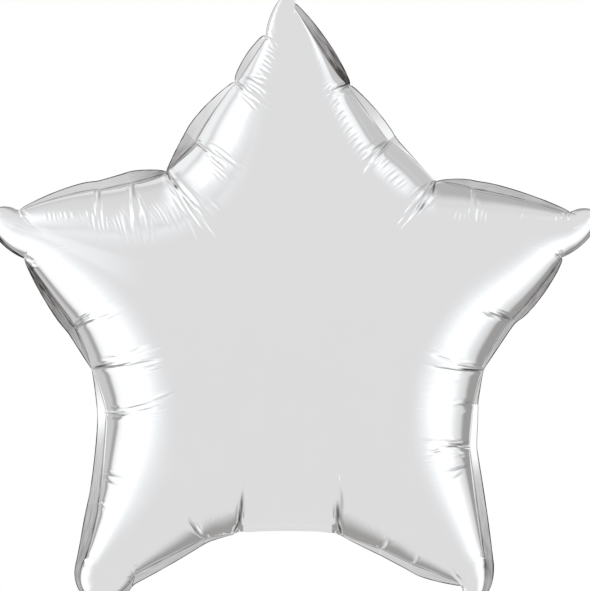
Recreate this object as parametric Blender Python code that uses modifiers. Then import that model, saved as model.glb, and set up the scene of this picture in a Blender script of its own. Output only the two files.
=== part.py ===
"""Star foil balloon in metres: two star panels of metallised film, the weld band that joins them, and a tail.

The star stands upright in the XZ plane with its front panel towards -Y. The origin is the middle of the
star, in the plane of the weld. The film is drawn thicker than it is, so that each ply is a solid.
"""

import math

import bmesh
import bpy
import numpy as np

MM = 0.001

# The weld line of each arm in mm, clockwise seen from the front. Each pleat is x, z, the width that the weld
# band shows there, and for the lobe that follows how far it bulges, as a share of its chord, and the width of
# the band in its middle. "rise" starts at the notch before the arm and holds the pleats up to its neck, "tip"
# is the outermost point of its rounded end with the band's width there, and "fall" holds the pleats down to
# the next notch.
ARMS = {
    "top": {
        "rise": [
            (-88.6, 108.0, 1.0, 0.03, 6.5),
            (-67.2, 129.6, 11.0, 0.04, 8.2),
            (-38.0, 173.4, 1.0, -0.01, 6.8),
            (-16.4, 206.7, 1.0, 0.0, 0.0),
        ],
        "tip": (-4.0, 236.5, 2.5),
        "fall": [
            (3.8, 229.9, 1.0, -0.01, 7.0),
            (43.3, 171.2, 1.0, -0.01, 7.4),
            (72.3, 130.7, 6.2, 0.05, 1.4),
        ],
    },
    "right": {
        "rise": [
            (106.1, 100.4, 1.0, 0.08, 5.1),
            (132.7, 95.8, 7.1, 0.03, 5.6),
            (203.2, 78.2, 1.5, 0.0, 0.0),
        ],
        "tip": (223.0, 73.0, 3.5),
        "fall": [
            (197.7, 46.5, 1.0, 0.04, 5.6),
            (161.3, 1.7, 4.8, -0.03, 4.2),
        ],
    },
    "right_leg": {
        "rise": [
            (141.1, -34.9, 1.0, 0.0, 2.0),
            (134.5, -59.8, 3.5, 0.0, 4.9),
            (131.3, -91.9, 5.5, 0.0, 6.7),
            (142.5, -172.9, 6.9, 0.0, 0.0),
        ],
        "tip": (138.0, -202.0, 4.5),
        "fall": [
            (125.0, -191.0, 1.8, 0.0, 6.7),
            (90.1, -174.3, 9.8, 0.0, 9.2),
            (66.4, -163.8, 7.6, 0.03, 3.6),
        ],
    },
    "left_leg": {
        "rise": [
            (-41.0, -154.8, 1.2, 0.02, 2.1),
            (-60.1, -157.5, 4.6, 0.0, 7.4),
            (-112.0, -184.2, 8.8, 0.0, 0.0),
        ],
        "tip": (-142.0, -202.0, 4.5),
        "fall": [
            (-149.1, -174.0, 6.6, -0.03, 8.9),
            (-139.0, -133.0, 8.7, -0.01, 6.7),
            (-133.0, -66.5, 7.2, -0.02, 4.1),
        ],
    },
    "left": {
        "rise": [
            (-143.2, -34.3, 1.0, 0.0, 4.2),
            (-155.8, -4.6, 6.6, 0.02, 5.5),
            (-191.5, 45.5, 1.0, 0.0, 0.0),
        ],
        "tip": (-217.0, 73.5, 3.5),
        "fall": [
            (-195.5, 79.5, 1.0, 0.05, 5.0),
            (-138.3, 95.1, 7.2, 0.01, 8.0),
            (-113.9, 100.5, 8.9, 0.0, 7.8),
        ],
    },
}
# Between the notches of the two legs the weld line runs across the root of the tail: x, z in mm.
ROOT_LINE = [(38.0, -155.3), (28.1, -150.5), (-31.1, -150.5), (-41.0, -154.8)]
ROOT_BAND_WIDTH = 1.2 * MM

BAND_THICKNESS = 0.8 * MM
BAND_INSIDE = 2.2 * MM
FILM = 1.0 * MM
CLEARANCE = 0.3 * MM

# A panel is as high as a membrane that even pressure lifts, raised to a power below 1, which rounds it over
# steeply to the weld. Its rows of points lie closer together at the weld.
PEAK_HEIGHT = 65.4 * MM
HEIGHT_POWER = 0.58
ROW_POWER = 1.6
TIP_INSET = 17.0 * MM
FOOT_SPREAD = 0.76

HALF_ARM_STEPS = 18
ROOT_STEPS = 8
PANEL_STEPS = 6
MEMBRANE_FINENESS = 3
LOBE_STEPS = 24
MERGED_PLACES = 7
SMALLEST_AREA = 1e-12

# The tail, whose shape at rest is an arc and then a flat end, tucked up behind the back panel.
TAIL_LENGTH = 90.0 * MM
TAIL_ARC = 62.0 * MM
TAIL_ROOT_LEAN = math.radians(95.0)
TAIL_END_LEAN = math.radians(32.0)
TAIL_WIDTH = 46.0 * MM
TAIL_ROOT_WIDTH = 56.0 * MM
TAIL_FLARE = 22.0 * MM
TAIL_WELD = 5.0 * MM
TAIL_STEPS = 14
PLY = 0.6 * MM
VALVE_FILM = 0.4 * MM
VALVE_WIDTH = 30.0 * MM
VALVE_START = 38.0 * MM
VALVE_PROUD = 4.0 * MM
BEAD_RADIUS = 1.0 * MM
BEAD_SIDES = 16
FOLD_Y = 1.8 * MM
FOLD_Z = -152.1 * MM


def clear_scene():
    """Removes every object of the scene."""
    for obj in list(bpy.data.objects):
        bpy.data.objects.remove(obj, do_unlink=True)


def film_material(name, colour, roughness, metallic, alpha=1.0):
    """A Principled material with the given colour and gloss."""
    material = bpy.data.materials.new(name)
    material.use_nodes = True
    shader = material.node_tree.nodes["Principled BSDF"]
    shader.inputs["Base Color"].default_value = (*colour, 1.0)
    shader.inputs["Roughness"].default_value = roughness
    shader.inputs["Metallic"].default_value = metallic
    shader.inputs["Alpha"].default_value = alpha
    return material


def add_mesh(name, points, faces, collection, material, parent=None):
    """A smooth object made of these points and faces, with doubled points merged."""
    mesh = bpy.data.meshes.new(name)
    mesh.from_pydata([tuple(point) for point in points], [], faces)
    work = bmesh.new()
    work.from_mesh(mesh)
    bmesh.ops.remove_doubles(work, verts=work.verts, dist=1e-6)
    work.to_mesh(mesh)
    work.free()
    mesh.shade_smooth()
    mesh.set_sharp_from_angle(angle=math.radians(35))
    mesh.materials.append(material)
    obj = bpy.data.objects.new(name, mesh)
    collection.objects.link(obj)
    obj.parent = parent
    return obj


def thicken(obj, thickness, offset):
    """Gives an open surface a wall: offset -1 puts it under the surface, 0 on both sides of it."""
    wall = obj.modifiers.new("wall", "SOLIDIFY")
    wall.thickness = thickness
    wall.offset = offset
    wall.use_even_offset = offset == 0
    return wall


# The outline


def lobe(start, end, crown):
    """Points x, z, width from one pleat to the next: a half ellipse whose crown stands off the chord."""
    turn = np.linspace(0.0, math.pi, LOBE_STEPS + 1)[:, None]
    along = (1 - np.cos(turn)) / 2
    return start + (end - start) * along + crown * np.sin(turn)


def scallop(start, end):
    """The lobe from one pleat to the next one clockwise, crowned outwards."""
    chord = (end - start)[:2]
    crown = np.array([-chord[1] * start[3], chord[0] * start[3], start[4] - (start[2] + end[2]) / 2])
    return lobe(start[:3], end[:3], crown)


def scallops(pleats):
    """The lobes between pleats that follow each other clockwise."""
    return [scallop(start, end) for start, end in zip(pleats[:-1], pleats[1:])]


def joined(pieces):
    """Runs of points put end to end, each without its last point, and the last one whole."""
    return np.concatenate([piece[:-1] for piece in pieces[:-1]] + [pieces[-1]])


def half_arm(tip_half, lobes):
    """One side of an arm from its tip to its notch: points x, z, width at HALF_ARM_STEPS + 1 stations.

    The stations are even along the weld, and the nearest one to each pleat is moved onto it.
    """
    line = joined([tip_half] + lobes)
    run = np.concatenate([[0.0], np.cumsum(np.linalg.norm(np.diff(line[:, :2], axis=0), axis=1))])
    stations = np.linspace(0.0, run[-1], HALF_ARM_STEPS + 1)
    pleats = run[len(tip_half) - 1 : -1 : LOBE_STEPS]
    for pleat in pleats:
        stations[np.abs(stations - pleat).argmin()] = pleat
    return np.stack([np.interp(stations, run, line[:, axis]) for axis in range(3)], axis=1)


def arm_sides(arm, notch_after):
    """The two sides of an arm, each from its tip to its notch, and its tip, in metres."""
    scale = np.array([MM, MM, MM, 1.0, MM])
    rise = np.array(arm["rise"]) * scale
    fall = np.array(arm["fall"] + [notch_after]) * scale
    tip = np.array(arm["tip"]) * MM
    end = lobe(rise[-1][:3], fall[0][:3], tip - (rise[-1][:3] + fall[0][:3]) / 2)
    middle = LOBE_STEPS // 2
    rising = [piece[::-1] for piece in scallops(rise)][::-1]
    return half_arm(end[: middle + 1][::-1], rising), half_arm(end[middle:], scallops(fall)), tip[:2]


def spine_points(tip):
    """Where each station's ruling meets the arm's middle line, from near the tip to the star's middle."""
    share = np.linspace(0.0, 1.0, HALF_ARM_STEPS + 1)
    share = FOOT_SPREAD * share + (1 - FOOT_SPREAD) * share**4
    reach = np.linalg.norm(tip) - TIP_INSET
    return tip / np.linalg.norm(tip) * reach * (1 - share)[:, None]


def root_edge():
    """The weld across the root of the tail, without its ends, ruled to the star's middle."""
    line = np.array(ROOT_LINE) * MM
    x = np.linspace(line[0, 0], line[-1, 0], ROOT_STEPS + 1)[1:-1]
    z = np.interp(x, line[::-1, 0], line[::-1, 1])
    return np.stack([x, z, np.full_like(x, ROOT_BAND_WIDTH), np.zeros_like(x), np.zeros_like(x)], axis=1)


def star_stations():
    """The closed weld line: rows of weld x, z, width, spine x, z, clockwise from the top arm's notch."""
    arms = list(ARMS.values())
    root_notch = (*ROOT_LINE[0], ROOT_BAND_WIDTH / MM, 0.0, 0.0)
    rows = []
    for arm, following in zip(arms, arms[1:] + arms[:1]):
        root = arm is ARMS["right_leg"]
        rise, fall, tip = arm_sides(arm, root_notch if root else following["rise"][0])
        spine = spine_points(tip)
        rows.append(np.hstack([rise, spine])[::-1])
        rows.append(np.hstack([fall, spine])[1 : len(fall) if root else len(fall) - 1])
        if root:
            rows.append(root_edge())
    return np.concatenate(rows)


def across(stations, distance):
    """Points x, z at a distance outside the weld line, along the rulings."""
    weld = stations[:, :2]
    ruling = weld - stations[:, 3:]
    ruling /= np.linalg.norm(ruling, axis=1)[:, None]
    return weld + ruling * np.reshape(distance, (-1, 1))


# The pieces of the star


def ring_faces(count, rings):
    """Quads between closed rings of points that follow each other."""
    return [
        (i * count + j, i * count + (j + 1) % count, (i + 1) * count + (j + 1) % count, (i + 1) * count + j)
        for i in range(rings - 1)
        for j in range(count)
    ]


def plan_grid(stations, steps):
    """The plan of a panel: rows of places x, z from the weld to the arms' middle lines."""
    share = (np.linspace(0.0, 1.0, steps + 1) ** ROW_POWER)[:, None, None]
    weld, spine = stations[:, :2], stations[:, 3:]
    return weld + (spine - weld) * share


def membrane(place):
    """The solution of laplacian(u) = -1 over a panel's plan, 0 on the weld, in linear triangles."""
    rows, count = place.shape[:2]
    quads = np.array(ring_faces(count, rows))
    points, index = np.unique(np.round(place.reshape(-1, 2), MERGED_PLACES), axis=0, return_inverse=True)
    index = index.reshape(-1)
    triangles = index[np.concatenate([quads[:, [0, 1, 2]], quads[:, [0, 2, 3]]])]
    corner = points[triangles]
    edge = np.roll(corner, -2, axis=1) - np.roll(corner, -1, axis=1)
    area = np.abs(edge[:, 0, 0] * edge[:, 1, 1] - edge[:, 0, 1] * edge[:, 1, 0]) / 2
    sound = area > SMALLEST_AREA
    triangles, edge, area = triangles[sound], edge[sound], area[sound]
    matrix = np.zeros((len(points), len(points)))
    local = np.einsum("tia,tja->tij", edge, edge) / (4 * area[:, None, None])
    np.add.at(matrix, (triangles[:, :, None], triangles[:, None, :]), local)
    load = np.zeros(len(points))
    np.add.at(load, triangles, area[:, None] / 3)
    free = np.ones(len(points), bool)
    free[index[:count]] = False
    answer = np.zeros(len(points))
    answer[free] = np.linalg.solve(matrix[np.ix_(free, free)], load[free])
    return answer[index].reshape(rows, count)


def panel_height(stations):
    """A panel's height over its plan, rows by stations, worked out on a plan with finer rows."""
    lift = np.maximum(membrane(plan_grid(stations, PANEL_STEPS * MEMBRANE_FINENESS)), 0.0)
    return PEAK_HEIGHT * (lift[::MEMBRANE_FINENESS] / lift.max()) ** HEIGHT_POWER


def panel(name, stations, height, side, collection, material):
    """One star panel: a dished skin from the weld to the arms' middle lines. side is -1 at the front."""
    base = BAND_THICKNESS / 2 + CLEARANCE + FILM
    place = plan_grid(stations, PANEL_STEPS)
    points = np.stack([place[:, :, 0], side * (base + height), place[:, :, 1]], axis=2).reshape(-1, 3)
    faces = ring_faces(len(stations), PANEL_STEPS + 1)
    if side < 0:
        faces = [face[::-1] for face in faces]
    obj = add_mesh(name, points, faces, collection, material)
    thicken(obj, FILM, -1)
    return obj


def weld_band(stations, collection, material):
    """The flat band all round the star where the two panels are welded together."""
    inner = across(stations, -BAND_INSIDE)
    outer = across(stations, stations[:, 2])
    points = [np.insert(line, 1, 0.0, axis=1) for line in (outer, inner)]
    faces = ring_faces(len(stations), 2)
    obj = add_mesh("weld_band", np.concatenate(points), faces, collection, material)
    thicken(obj, BAND_THICKNESS, 0)
    return obj


# The tail, in its own frame: the fold's axis is X, and a ply runs from it along the tail's line


def tail_line(run):
    """Points y, z and normals y, z of the tail's line at these distances from the fold."""
    steps = np.linspace(0.0, TAIL_LENGTH + VALVE_PROUD, 400)
    bend = np.clip(steps / TAIL_ARC, 0.0, 1.0)
    lean = TAIL_ROOT_LEAN + (TAIL_END_LEAN - TAIL_ROOT_LEAN) * bend
    step = steps[1] - steps[0]
    y = np.cumsum(np.sin(lean)) * step
    z = np.cumsum(np.cos(lean)) * step
    lean = np.interp(run, steps, lean)
    line = np.stack([np.interp(run, steps, y), np.interp(run, steps, z)], axis=1)
    return line, np.stack([np.cos(lean), -np.sin(lean)], axis=1)


def tail_half_width(run):
    """Half the tail's width, flared at its root."""
    flare = np.clip(1 - run / TAIL_FLARE, 0.0, 1.0) ** 2
    return (TAIL_WIDTH + (TAIL_ROOT_WIDTH - TAIL_WIDTH) * flare) / 2


def tail_strip(name, start, end, edges, offset, thickness, collection, material, parent):
    """A strip of film along the tail: edges gives its two sides in X at each distance from the fold."""
    run = np.linspace(start, end, TAIL_STEPS + 1)
    line, normal = tail_line(run)
    place = line + normal * offset
    low, high = edges(run)
    points = [np.insert(place, 0, side, axis=1) for side in (low, high)]
    count = len(run)
    faces = [(j, j + 1, count + j + 1, count + j) for j in range(TAIL_STEPS)]
    obj = add_mesh(name, np.concatenate(points), faces, collection, material, parent)
    thicken(obj, thickness, 0)
    return obj


def tail(collection, film, clear):
    """The filling tail: two plies welded along their sides, the valve film at its mouth, and the fold."""
    hinge = bpy.data.objects.new("tail_hinge", None)
    hinge.location = (0.0, FOLD_Y, FOLD_Z)
    hinge.empty_display_size = 0.02
    collection.objects.link(hinge)

    start = BEAD_RADIUS + CLEARANCE
    ply_offset = VALVE_FILM / 2 + CLEARANCE + PLY / 2
    stack = 2 * ply_offset + PLY

    def ply_edges(run):
        side = tail_half_width(run) - TAIL_WELD - CLEARANCE
        return -side, side

    def left_edges(run):
        side = tail_half_width(run)
        return -side, TAIL_WELD - side

    def right_edges(run):
        side = tail_half_width(run)
        return side - TAIL_WELD, side

    def valve_edges(run):
        side = np.full_like(run, VALVE_WIDTH / 2)
        return -side, side

    strips = (
        ("tail_outer_ply", start, TAIL_LENGTH, ply_edges, ply_offset, PLY, film),
        ("tail_inner_ply", start, TAIL_LENGTH, ply_edges, -ply_offset, PLY, film),
        ("tail_weld_left", start, TAIL_LENGTH, left_edges, 0.0, stack, film),
        ("tail_weld_right", start, TAIL_LENGTH, right_edges, 0.0, stack, film),
        ("valve_film", VALVE_START, TAIL_LENGTH + VALVE_PROUD, valve_edges, 0.0, VALVE_FILM, clear),
    )
    for name, first, last, edges, offset, thickness, material in strips:
        tail_strip(name, first, last, edges, offset, thickness, collection, material.copy(), hinge)

    bpy.ops.mesh.primitive_cylinder_add(
        vertices=BEAD_SIDES, radius=BEAD_RADIUS, depth=TAIL_ROOT_WIDTH, rotation=(0, math.pi / 2, 0)
    )
    bead = bpy.context.active_object
    bead.name = "tail_fold"
    bead.data.name = "tail_fold"
    bead.data.materials.append(film.copy())
    bead.parent = hinge
    for old in bead.users_collection:
        old.objects.unlink(bead)
    collection.objects.link(bead)


def main():
    clear_scene()
    parts = bpy.data.collections.new("star_foil_balloon")
    bpy.context.scene.collection.children.link(parts)
    film = film_material("silver_film", (0.80, 0.80, 0.81), 0.12, 1.0)
    clear = film_material("clear_film", (0.90, 0.92, 0.93), 0.10, 0.0, alpha=0.35)
    stations = star_stations()
    height = panel_height(stations)
    panel("front_panel", stations, height, -1, parts, film.copy())
    panel("back_panel", stations, height, 1, parts, film.copy())
    weld_band(stations, parts, film.copy())
    tail(parts, film, clear)


if __name__ == "__main__":
    main()
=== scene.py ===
"""Looks of the star foil balloon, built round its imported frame.

The star stands in the XZ plane with its front panel towards -Y, in metres, with its origin in the middle of
the star. Film surfaces are grids: one direction runs along the weld line, the other from the weld inwards.
"""

import logging
import math
from dataclasses import dataclass, field
from enum import Enum
from typing import ClassVar

import bmesh
import bpy
import numpy as np
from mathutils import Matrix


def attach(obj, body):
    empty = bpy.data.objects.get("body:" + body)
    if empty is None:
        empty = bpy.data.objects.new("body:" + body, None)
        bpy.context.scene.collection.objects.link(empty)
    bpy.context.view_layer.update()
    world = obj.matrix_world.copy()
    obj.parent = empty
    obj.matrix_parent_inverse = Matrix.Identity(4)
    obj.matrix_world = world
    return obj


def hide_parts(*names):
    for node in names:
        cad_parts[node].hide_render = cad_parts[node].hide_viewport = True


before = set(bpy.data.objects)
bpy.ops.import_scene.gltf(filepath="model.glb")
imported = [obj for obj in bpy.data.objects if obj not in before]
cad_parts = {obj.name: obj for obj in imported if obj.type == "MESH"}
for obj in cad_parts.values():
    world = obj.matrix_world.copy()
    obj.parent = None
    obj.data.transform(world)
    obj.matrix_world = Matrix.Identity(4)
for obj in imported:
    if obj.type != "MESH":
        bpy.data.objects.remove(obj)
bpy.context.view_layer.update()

log = logging.getLogger("star_foil_balloon")

MM = 0.001
PHOTO_WIDTH = 590
PIXEL = 0.73 * MM
MERGE_DISTANCE = 0.002 * MM
TINY = 1e-12

Pair = tuple[float, float]
Colour = tuple[float, float, float]
Bounds = tuple[float, float, float, float]


# Shared surface helpers


class Side(Enum):
    """Which panel of the star a surface belongs to: its value is the sign of Y on that side."""

    FRONT = -1
    BACK = 1


def smooth_step(value: np.ndarray, low: float, high: float) -> np.ndarray:
    """A cubic ramp from 0 at low to 1 at high: 3t^2 - 2t^3.

    Args:
        value: Where the ramp is read.
        low: The value at which it leaves 0.
        high: The value at which it reaches 1.

    Returns:
        The ramp's height at each value.
    """
    share = np.clip((value - low) / (high - low), 0.0, 1.0)
    return share * share * (3 - 2 * share)


def wrapped(offset: np.ndarray, length: float) -> np.ndarray:
    """The shortest signed way round a loop of this length.

    Args:
        offset: Differences of two places along the loop.
        length: The loop's length.

    Returns:
        The same differences, between minus and plus half the length.
    """
    return (offset + length / 2) % length - length / 2


def grid_normals(points: np.ndarray) -> np.ndarray:
    """Unit normals of a grid of points round a loop: the cross product of its two central differences.

    Args:
        points: Rows by stations by x, y, z.

    Returns:
        One unit normal for each point, along (station direction) x (row direction).
    """
    along = np.roll(points, -1, axis=1) - np.roll(points, 1, axis=1)
    normal = np.cross(along, np.gradient(points, axis=0))
    return normal / np.maximum(np.linalg.norm(normal, axis=2, keepdims=True), TINY)


def grid_faces(rows: int, stations: int, closed: bool, flip: bool) -> np.ndarray:
    """Quads of a grid whose points are numbered row by row.

    Args:
        rows: How many rows of points.
        stations: How many points in a row.
        closed: Whether a row is a loop.
        flip: Turns the faces over.

    Returns:
        An array of four point numbers for each quad.
    """
    last = stations if closed else stations - 1
    row, station = np.meshgrid(np.arange(rows - 1), np.arange(last), indexing="ij")
    following = (station + 1) % stations
    corners = np.stack(
        [
            row * stations + station,
            row * stations + following,
            (row + 1) * stations + following,
            (row + 1) * stations + station,
        ],
        axis=-1,
    ).reshape(-1, 4)
    return corners[:, ::-1] if flip else corners


def new_piece(
    name: str,
    points: np.ndarray,
    faces: np.ndarray,
    film_map: np.ndarray,
    amount: np.ndarray | None = None,
    shadow: np.ndarray | None = None,
) -> bpy.types.Object:
    """A smooth-shaded object made of these points and quads, at the origin, with doubled points merged.

    Args:
        name: The piece's name.
        points: Point coordinates, any shape ending in x, y, z.
        faces: Point numbers of each quad.
        film_map: Two surface coordinates in metres for each point, kept as the UV map "film_map".
        amount: How strongly the finish paints shade on the film or crimps it at each point, kept as
            "amount".
        shadow: How much painted shade each point gets for lying deep in a sharp fold, from 0 to 1, kept as
            "shadow".

    Returns:
        The new object, linked to the scene.
    """
    flat = points.reshape(-1, 3)
    mesh = bpy.data.meshes.new(name)
    mesh.vertices.add(len(flat))
    mesh.vertices.foreach_set("co", flat.astype(np.float32).ravel())
    mesh.loops.add(faces.size)
    mesh.loops.foreach_set("vertex_index", faces.astype(np.int32).ravel())
    mesh.polygons.add(len(faces))
    mesh.polygons.foreach_set("loop_start", np.arange(0, faces.size, 4, dtype=np.int32))
    mesh.update(calc_edges=True)
    layer = mesh.uv_layers.new(name="film_map")
    layer.data.foreach_set("uv", film_map.reshape(-1, 2)[faces.ravel()].astype(np.float32).ravel())
    for key, values in (("amount", amount), ("shadow", shadow)):
        if values is not None:
            attribute = mesh.attributes.new(key, "FLOAT", "POINT")
            attribute.data.foreach_set("value", values.astype(np.float32).ravel())
    work = bmesh.new()
    work.from_mesh(mesh)
    bmesh.ops.remove_doubles(work, verts=work.verts, dist=MERGE_DISTANCE)
    work.to_mesh(mesh)
    work.free()
    mesh.shade_smooth()
    mesh.validate()
    piece = bpy.data.objects.new(name, mesh)
    bpy.context.scene.collection.objects.link(piece)
    log.info("%s: %d faces", name, len(mesh.polygons))
    return piece


def walled(piece: bpy.types.Object, thickness: float) -> bpy.types.Object:
    """Gives a sheet its thickness, half on each side.

    Args:
        piece: The sheet.
        thickness: The wall's thickness.

    Returns:
        The same piece.
    """
    wall = piece.modifiers.new("film_thickness", "SOLIDIFY")
    wall.thickness = thickness
    wall.offset = 0.0
    return piece


def dress(piece: bpy.types.Object, material: bpy.types.Material, node: str, body: str) -> None:
    """Gives a piece its material and lets it stand for its CAD node.

    Args:
        piece: The piece.
        material: Its material.
        node: The CAD node it replaces.
        body: The moving body it rides.
    """
    piece.data.materials.append(material)
    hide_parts(node)
    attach(piece, body)


# The weld line


@dataclass(frozen=True)
class Pleat:
    """A place on the weld line where the film is gathered into a fold. Lengths are in mm.

    Attributes:
        x: Place across the star.
        z: Place up the star.
        band: Width that the weld band shows there.
        rise: How far the lobe that follows clockwise bulges, as a share of its chord.
        crown: Width of the band in the middle of that lobe.
        fold: Plan x, z of the fold's inner end.
        depth: How deep the fold cuts at the weld.
        shade: Painted shade of the weld band: how dark its reflection is painted just before and just after
            the pleat, clockwise, from 0 to 1; below 0 where it leans back further and above 1 where it is
            darkest.
        crinkle: How strongly the film is crinkled along the lobe that follows, from 0 to 1.
    """

    x: float
    z: float
    band: float
    rise: float
    crown: float
    fold: Pair
    depth: float
    shade: Pair
    crinkle: float


@dataclass(frozen=True)
class Arm:
    """One arm's weld line, clockwise seen from the front.

    Attributes:
        rise: Pleats from the notch before the arm up to its neck.
        tip: Outermost point of the rounded end, x and z in mm, and the weld band's width there.
        fall: Pleats from the neck down towards the next notch.
        fullness: How much higher than the plain film the arm's end stands, as a share of its height.
        lift: How much higher still the whole arm stands, in mm.
    """

    rise: tuple[Pleat, ...]
    tip: tuple[float, float, float]
    fall: tuple[Pleat, ...]
    fullness: float = 0.0
    lift: float = 0.0


TOP_ARM = Arm(
    rise=(
        Pleat(-88.6, 108.0, 1.0, 0.03, 6.5, (-49.6, 56.9), 1.3, (0.65, 0.80), 0.2),
        Pleat(-67.2, 129.6, 11.0, 0.04, 8.2, (-35.8, 106.6), 1.0, (0.26, 0.16), 0.2),
        Pleat(-38.0, 173.4, 1.0, -0.01, 6.8, (-15.3, 154.0), 1.1, (0.04, 0.12), 0.5),
        Pleat(-16.4, 206.7, 1.0, 0.0, 0.0, (-6.6, 199.3), 1.0, (0.06, 0.12), 0.4),
    ),
    tip=(-4.0, 236.5, 2.5),
    fall=(
        Pleat(3.8, 229.9, 1.0, -0.01, 7.0, (3.6, 218.0), 0.5, (0.10, 0.20), 0.4),
        Pleat(43.3, 171.2, 1.0, -0.01, 7.4, (28.5, 163.5), 1.2, (1.15, 0.16), 0.45),
        Pleat(72.3, 130.7, 6.2, 0.05, 1.4, (45.3, 100.0), 1.2, (-0.12, -0.12), 0.45),
    ),
    fullness=-0.38,
)
RIGHT_ARM = Arm(
    rise=(
        Pleat(106.1, 100.4, 1.0, 0.08, 5.1, (74.5, 59.1), 1.4, (0.05, 0.40), 0.2),
        Pleat(132.7, 95.8, 7.1, 0.03, 5.6, (134.3, 62.8), 0.8, (0.30, 0.30), 0.1),
        Pleat(203.2, 78.2, 1.5, 0.0, 0.0, (199.3, 69.4), 0.9, (0.35, 0.50), 0.2),
    ),
    tip=(223.0, 73.0, 3.5),
    fall=(
        Pleat(197.7, 46.5, 1.0, 0.04, 5.6, (192.0, 51.8), 1.0, (0.55, 0.75), 0.3),
        Pleat(161.3, 1.7, 4.8, -0.03, 4.2, (138.0, 8.8), 1.2, (0.50, 0.40), 0.3),
    ),
    lift=3.0,
)
RIGHT_LEG = Arm(
    rise=(
        Pleat(141.1, -34.9, 1.0, 0.0, 2.0, (97.8, -29.9), 1.6, (0.30, 0.30), 0.15),
        Pleat(134.5, -59.8, 3.5, 0.0, 4.9, (115.3, -59.9), 0.8, (0.10, 0.00), 0.15),
        Pleat(131.3, -91.9, 5.5, 0.0, 6.7, (95.6, -84.7), 1.2, (0.00, 0.00), 0.15),
        Pleat(142.5, -172.9, 6.9, 0.0, 0.0, (134.0, -170.0), 0.6, (0.50, 0.62), 0.2),
    ),
    tip=(138.0, -202.0, 4.5),
    fall=(
        Pleat(125.0, -191.0, 1.8, 0.0, 6.7, (113.0, -178.0), 0.6, (0.40, 0.20), 0.2),
        Pleat(89.1, -176.7, 7.2, 0.0, 6.6, (94.0, -165.0), 0.6, (0.14, 0.10), 0.2),
        Pleat(65.9, -165.2, 6.1, 0.03, 3.0, (76.7, -153.3), 0.9, (0.08, 0.12), 0.2),
    ),
    lift=2.0,
)
LEFT_LEG = Arm(
    rise=(
        Pleat(-41.0, -154.8, 1.2, 0.02, 2.1, (-37.0, -140.0), 0.4, (0.0, 0.30), 0.0),
        Pleat(-60.1, -157.5, 4.6, 0.0, 7.4, (-73.0, -141.6), 1.5, (0.30, 0.30), 0.2),
        Pleat(-112.0, -184.2, 8.8, 0.0, 0.0, (-113.0, -174.0), 0.6, (0.25, 0.40), 0.2),
    ),
    tip=(-142.0, -202.0, 4.5),
    fall=(
        Pleat(-149.1, -174.0, 6.6, -0.03, 8.9, (-141.0, -172.0), 0.6, (0.50, 0.50), 0.2),
        Pleat(-139.0, -133.0, 8.7, -0.01, 6.7, (-127.0, -132.0), 0.6, (0.35, 0.30), 0.15),
        Pleat(-133.0, -66.5, 7.2, -0.02, 4.1, (-107.3, -65.7), 1.3, (0.00, 0.00), 0.15),
    ),
    lift=1.0,
)
LEFT_ARM = Arm(
    rise=(
        Pleat(-143.2, -34.3, 1.0, 0.0, 4.2, (-86.9, -22.6), 1.2, (0.10, 0.35), 0.15),
        Pleat(-155.8, -4.6, 6.6, 0.02, 5.5, (-123.4, 8.0), 1.2, (0.50, 0.60), 0.3),
        Pleat(-191.5, 45.5, 1.0, 0.0, 0.0, (-181.8, 38.7), 1.0, (1.10, 1.25), 0.1),
    ),
    tip=(-217.0, 73.5, 3.5),
    fall=(
        Pleat(-195.5, 79.5, 1.0, 0.05, 5.0, (-190.0, 72.0), 0.8, (0.40, 0.10), 0.2),
        Pleat(-138.3, 95.1, 7.2, 0.01, 8.0, (-140.2, 66.4), 0.8, (0.08, 0.08), 0.2),
        Pleat(-113.9, 100.5, 8.9, 0.0, 7.8, (-107.3, 59.1), 1.1, (0.15, 0.20), 0.2),
    ),
    lift=3.0,
)
ARMS = (TOP_ARM, RIGHT_ARM, RIGHT_LEG, LEFT_LEG, LEFT_ARM)

# The weld line across the tail's root: x and z in mm, from the right leg to the left leg.
ROOT_LINE = (
    (38.0, -155.3),
    (33.5, -152.2),
    (22.0, -150.6),
    (0.0, -150.0),
    (-22.0, -150.5),
    (-35.5, -151.5),
    (-41.0, -154.8),
)
ROOT_MIDDLE = ROOT_LINE[3]
TAIL_ROOT_PLEAT = Pleat(*ROOT_LINE[0], 1.2, 0.0, 0.0, (36.0, -140.0), 0.4, (0.0, 0.0), 0.0)


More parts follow.
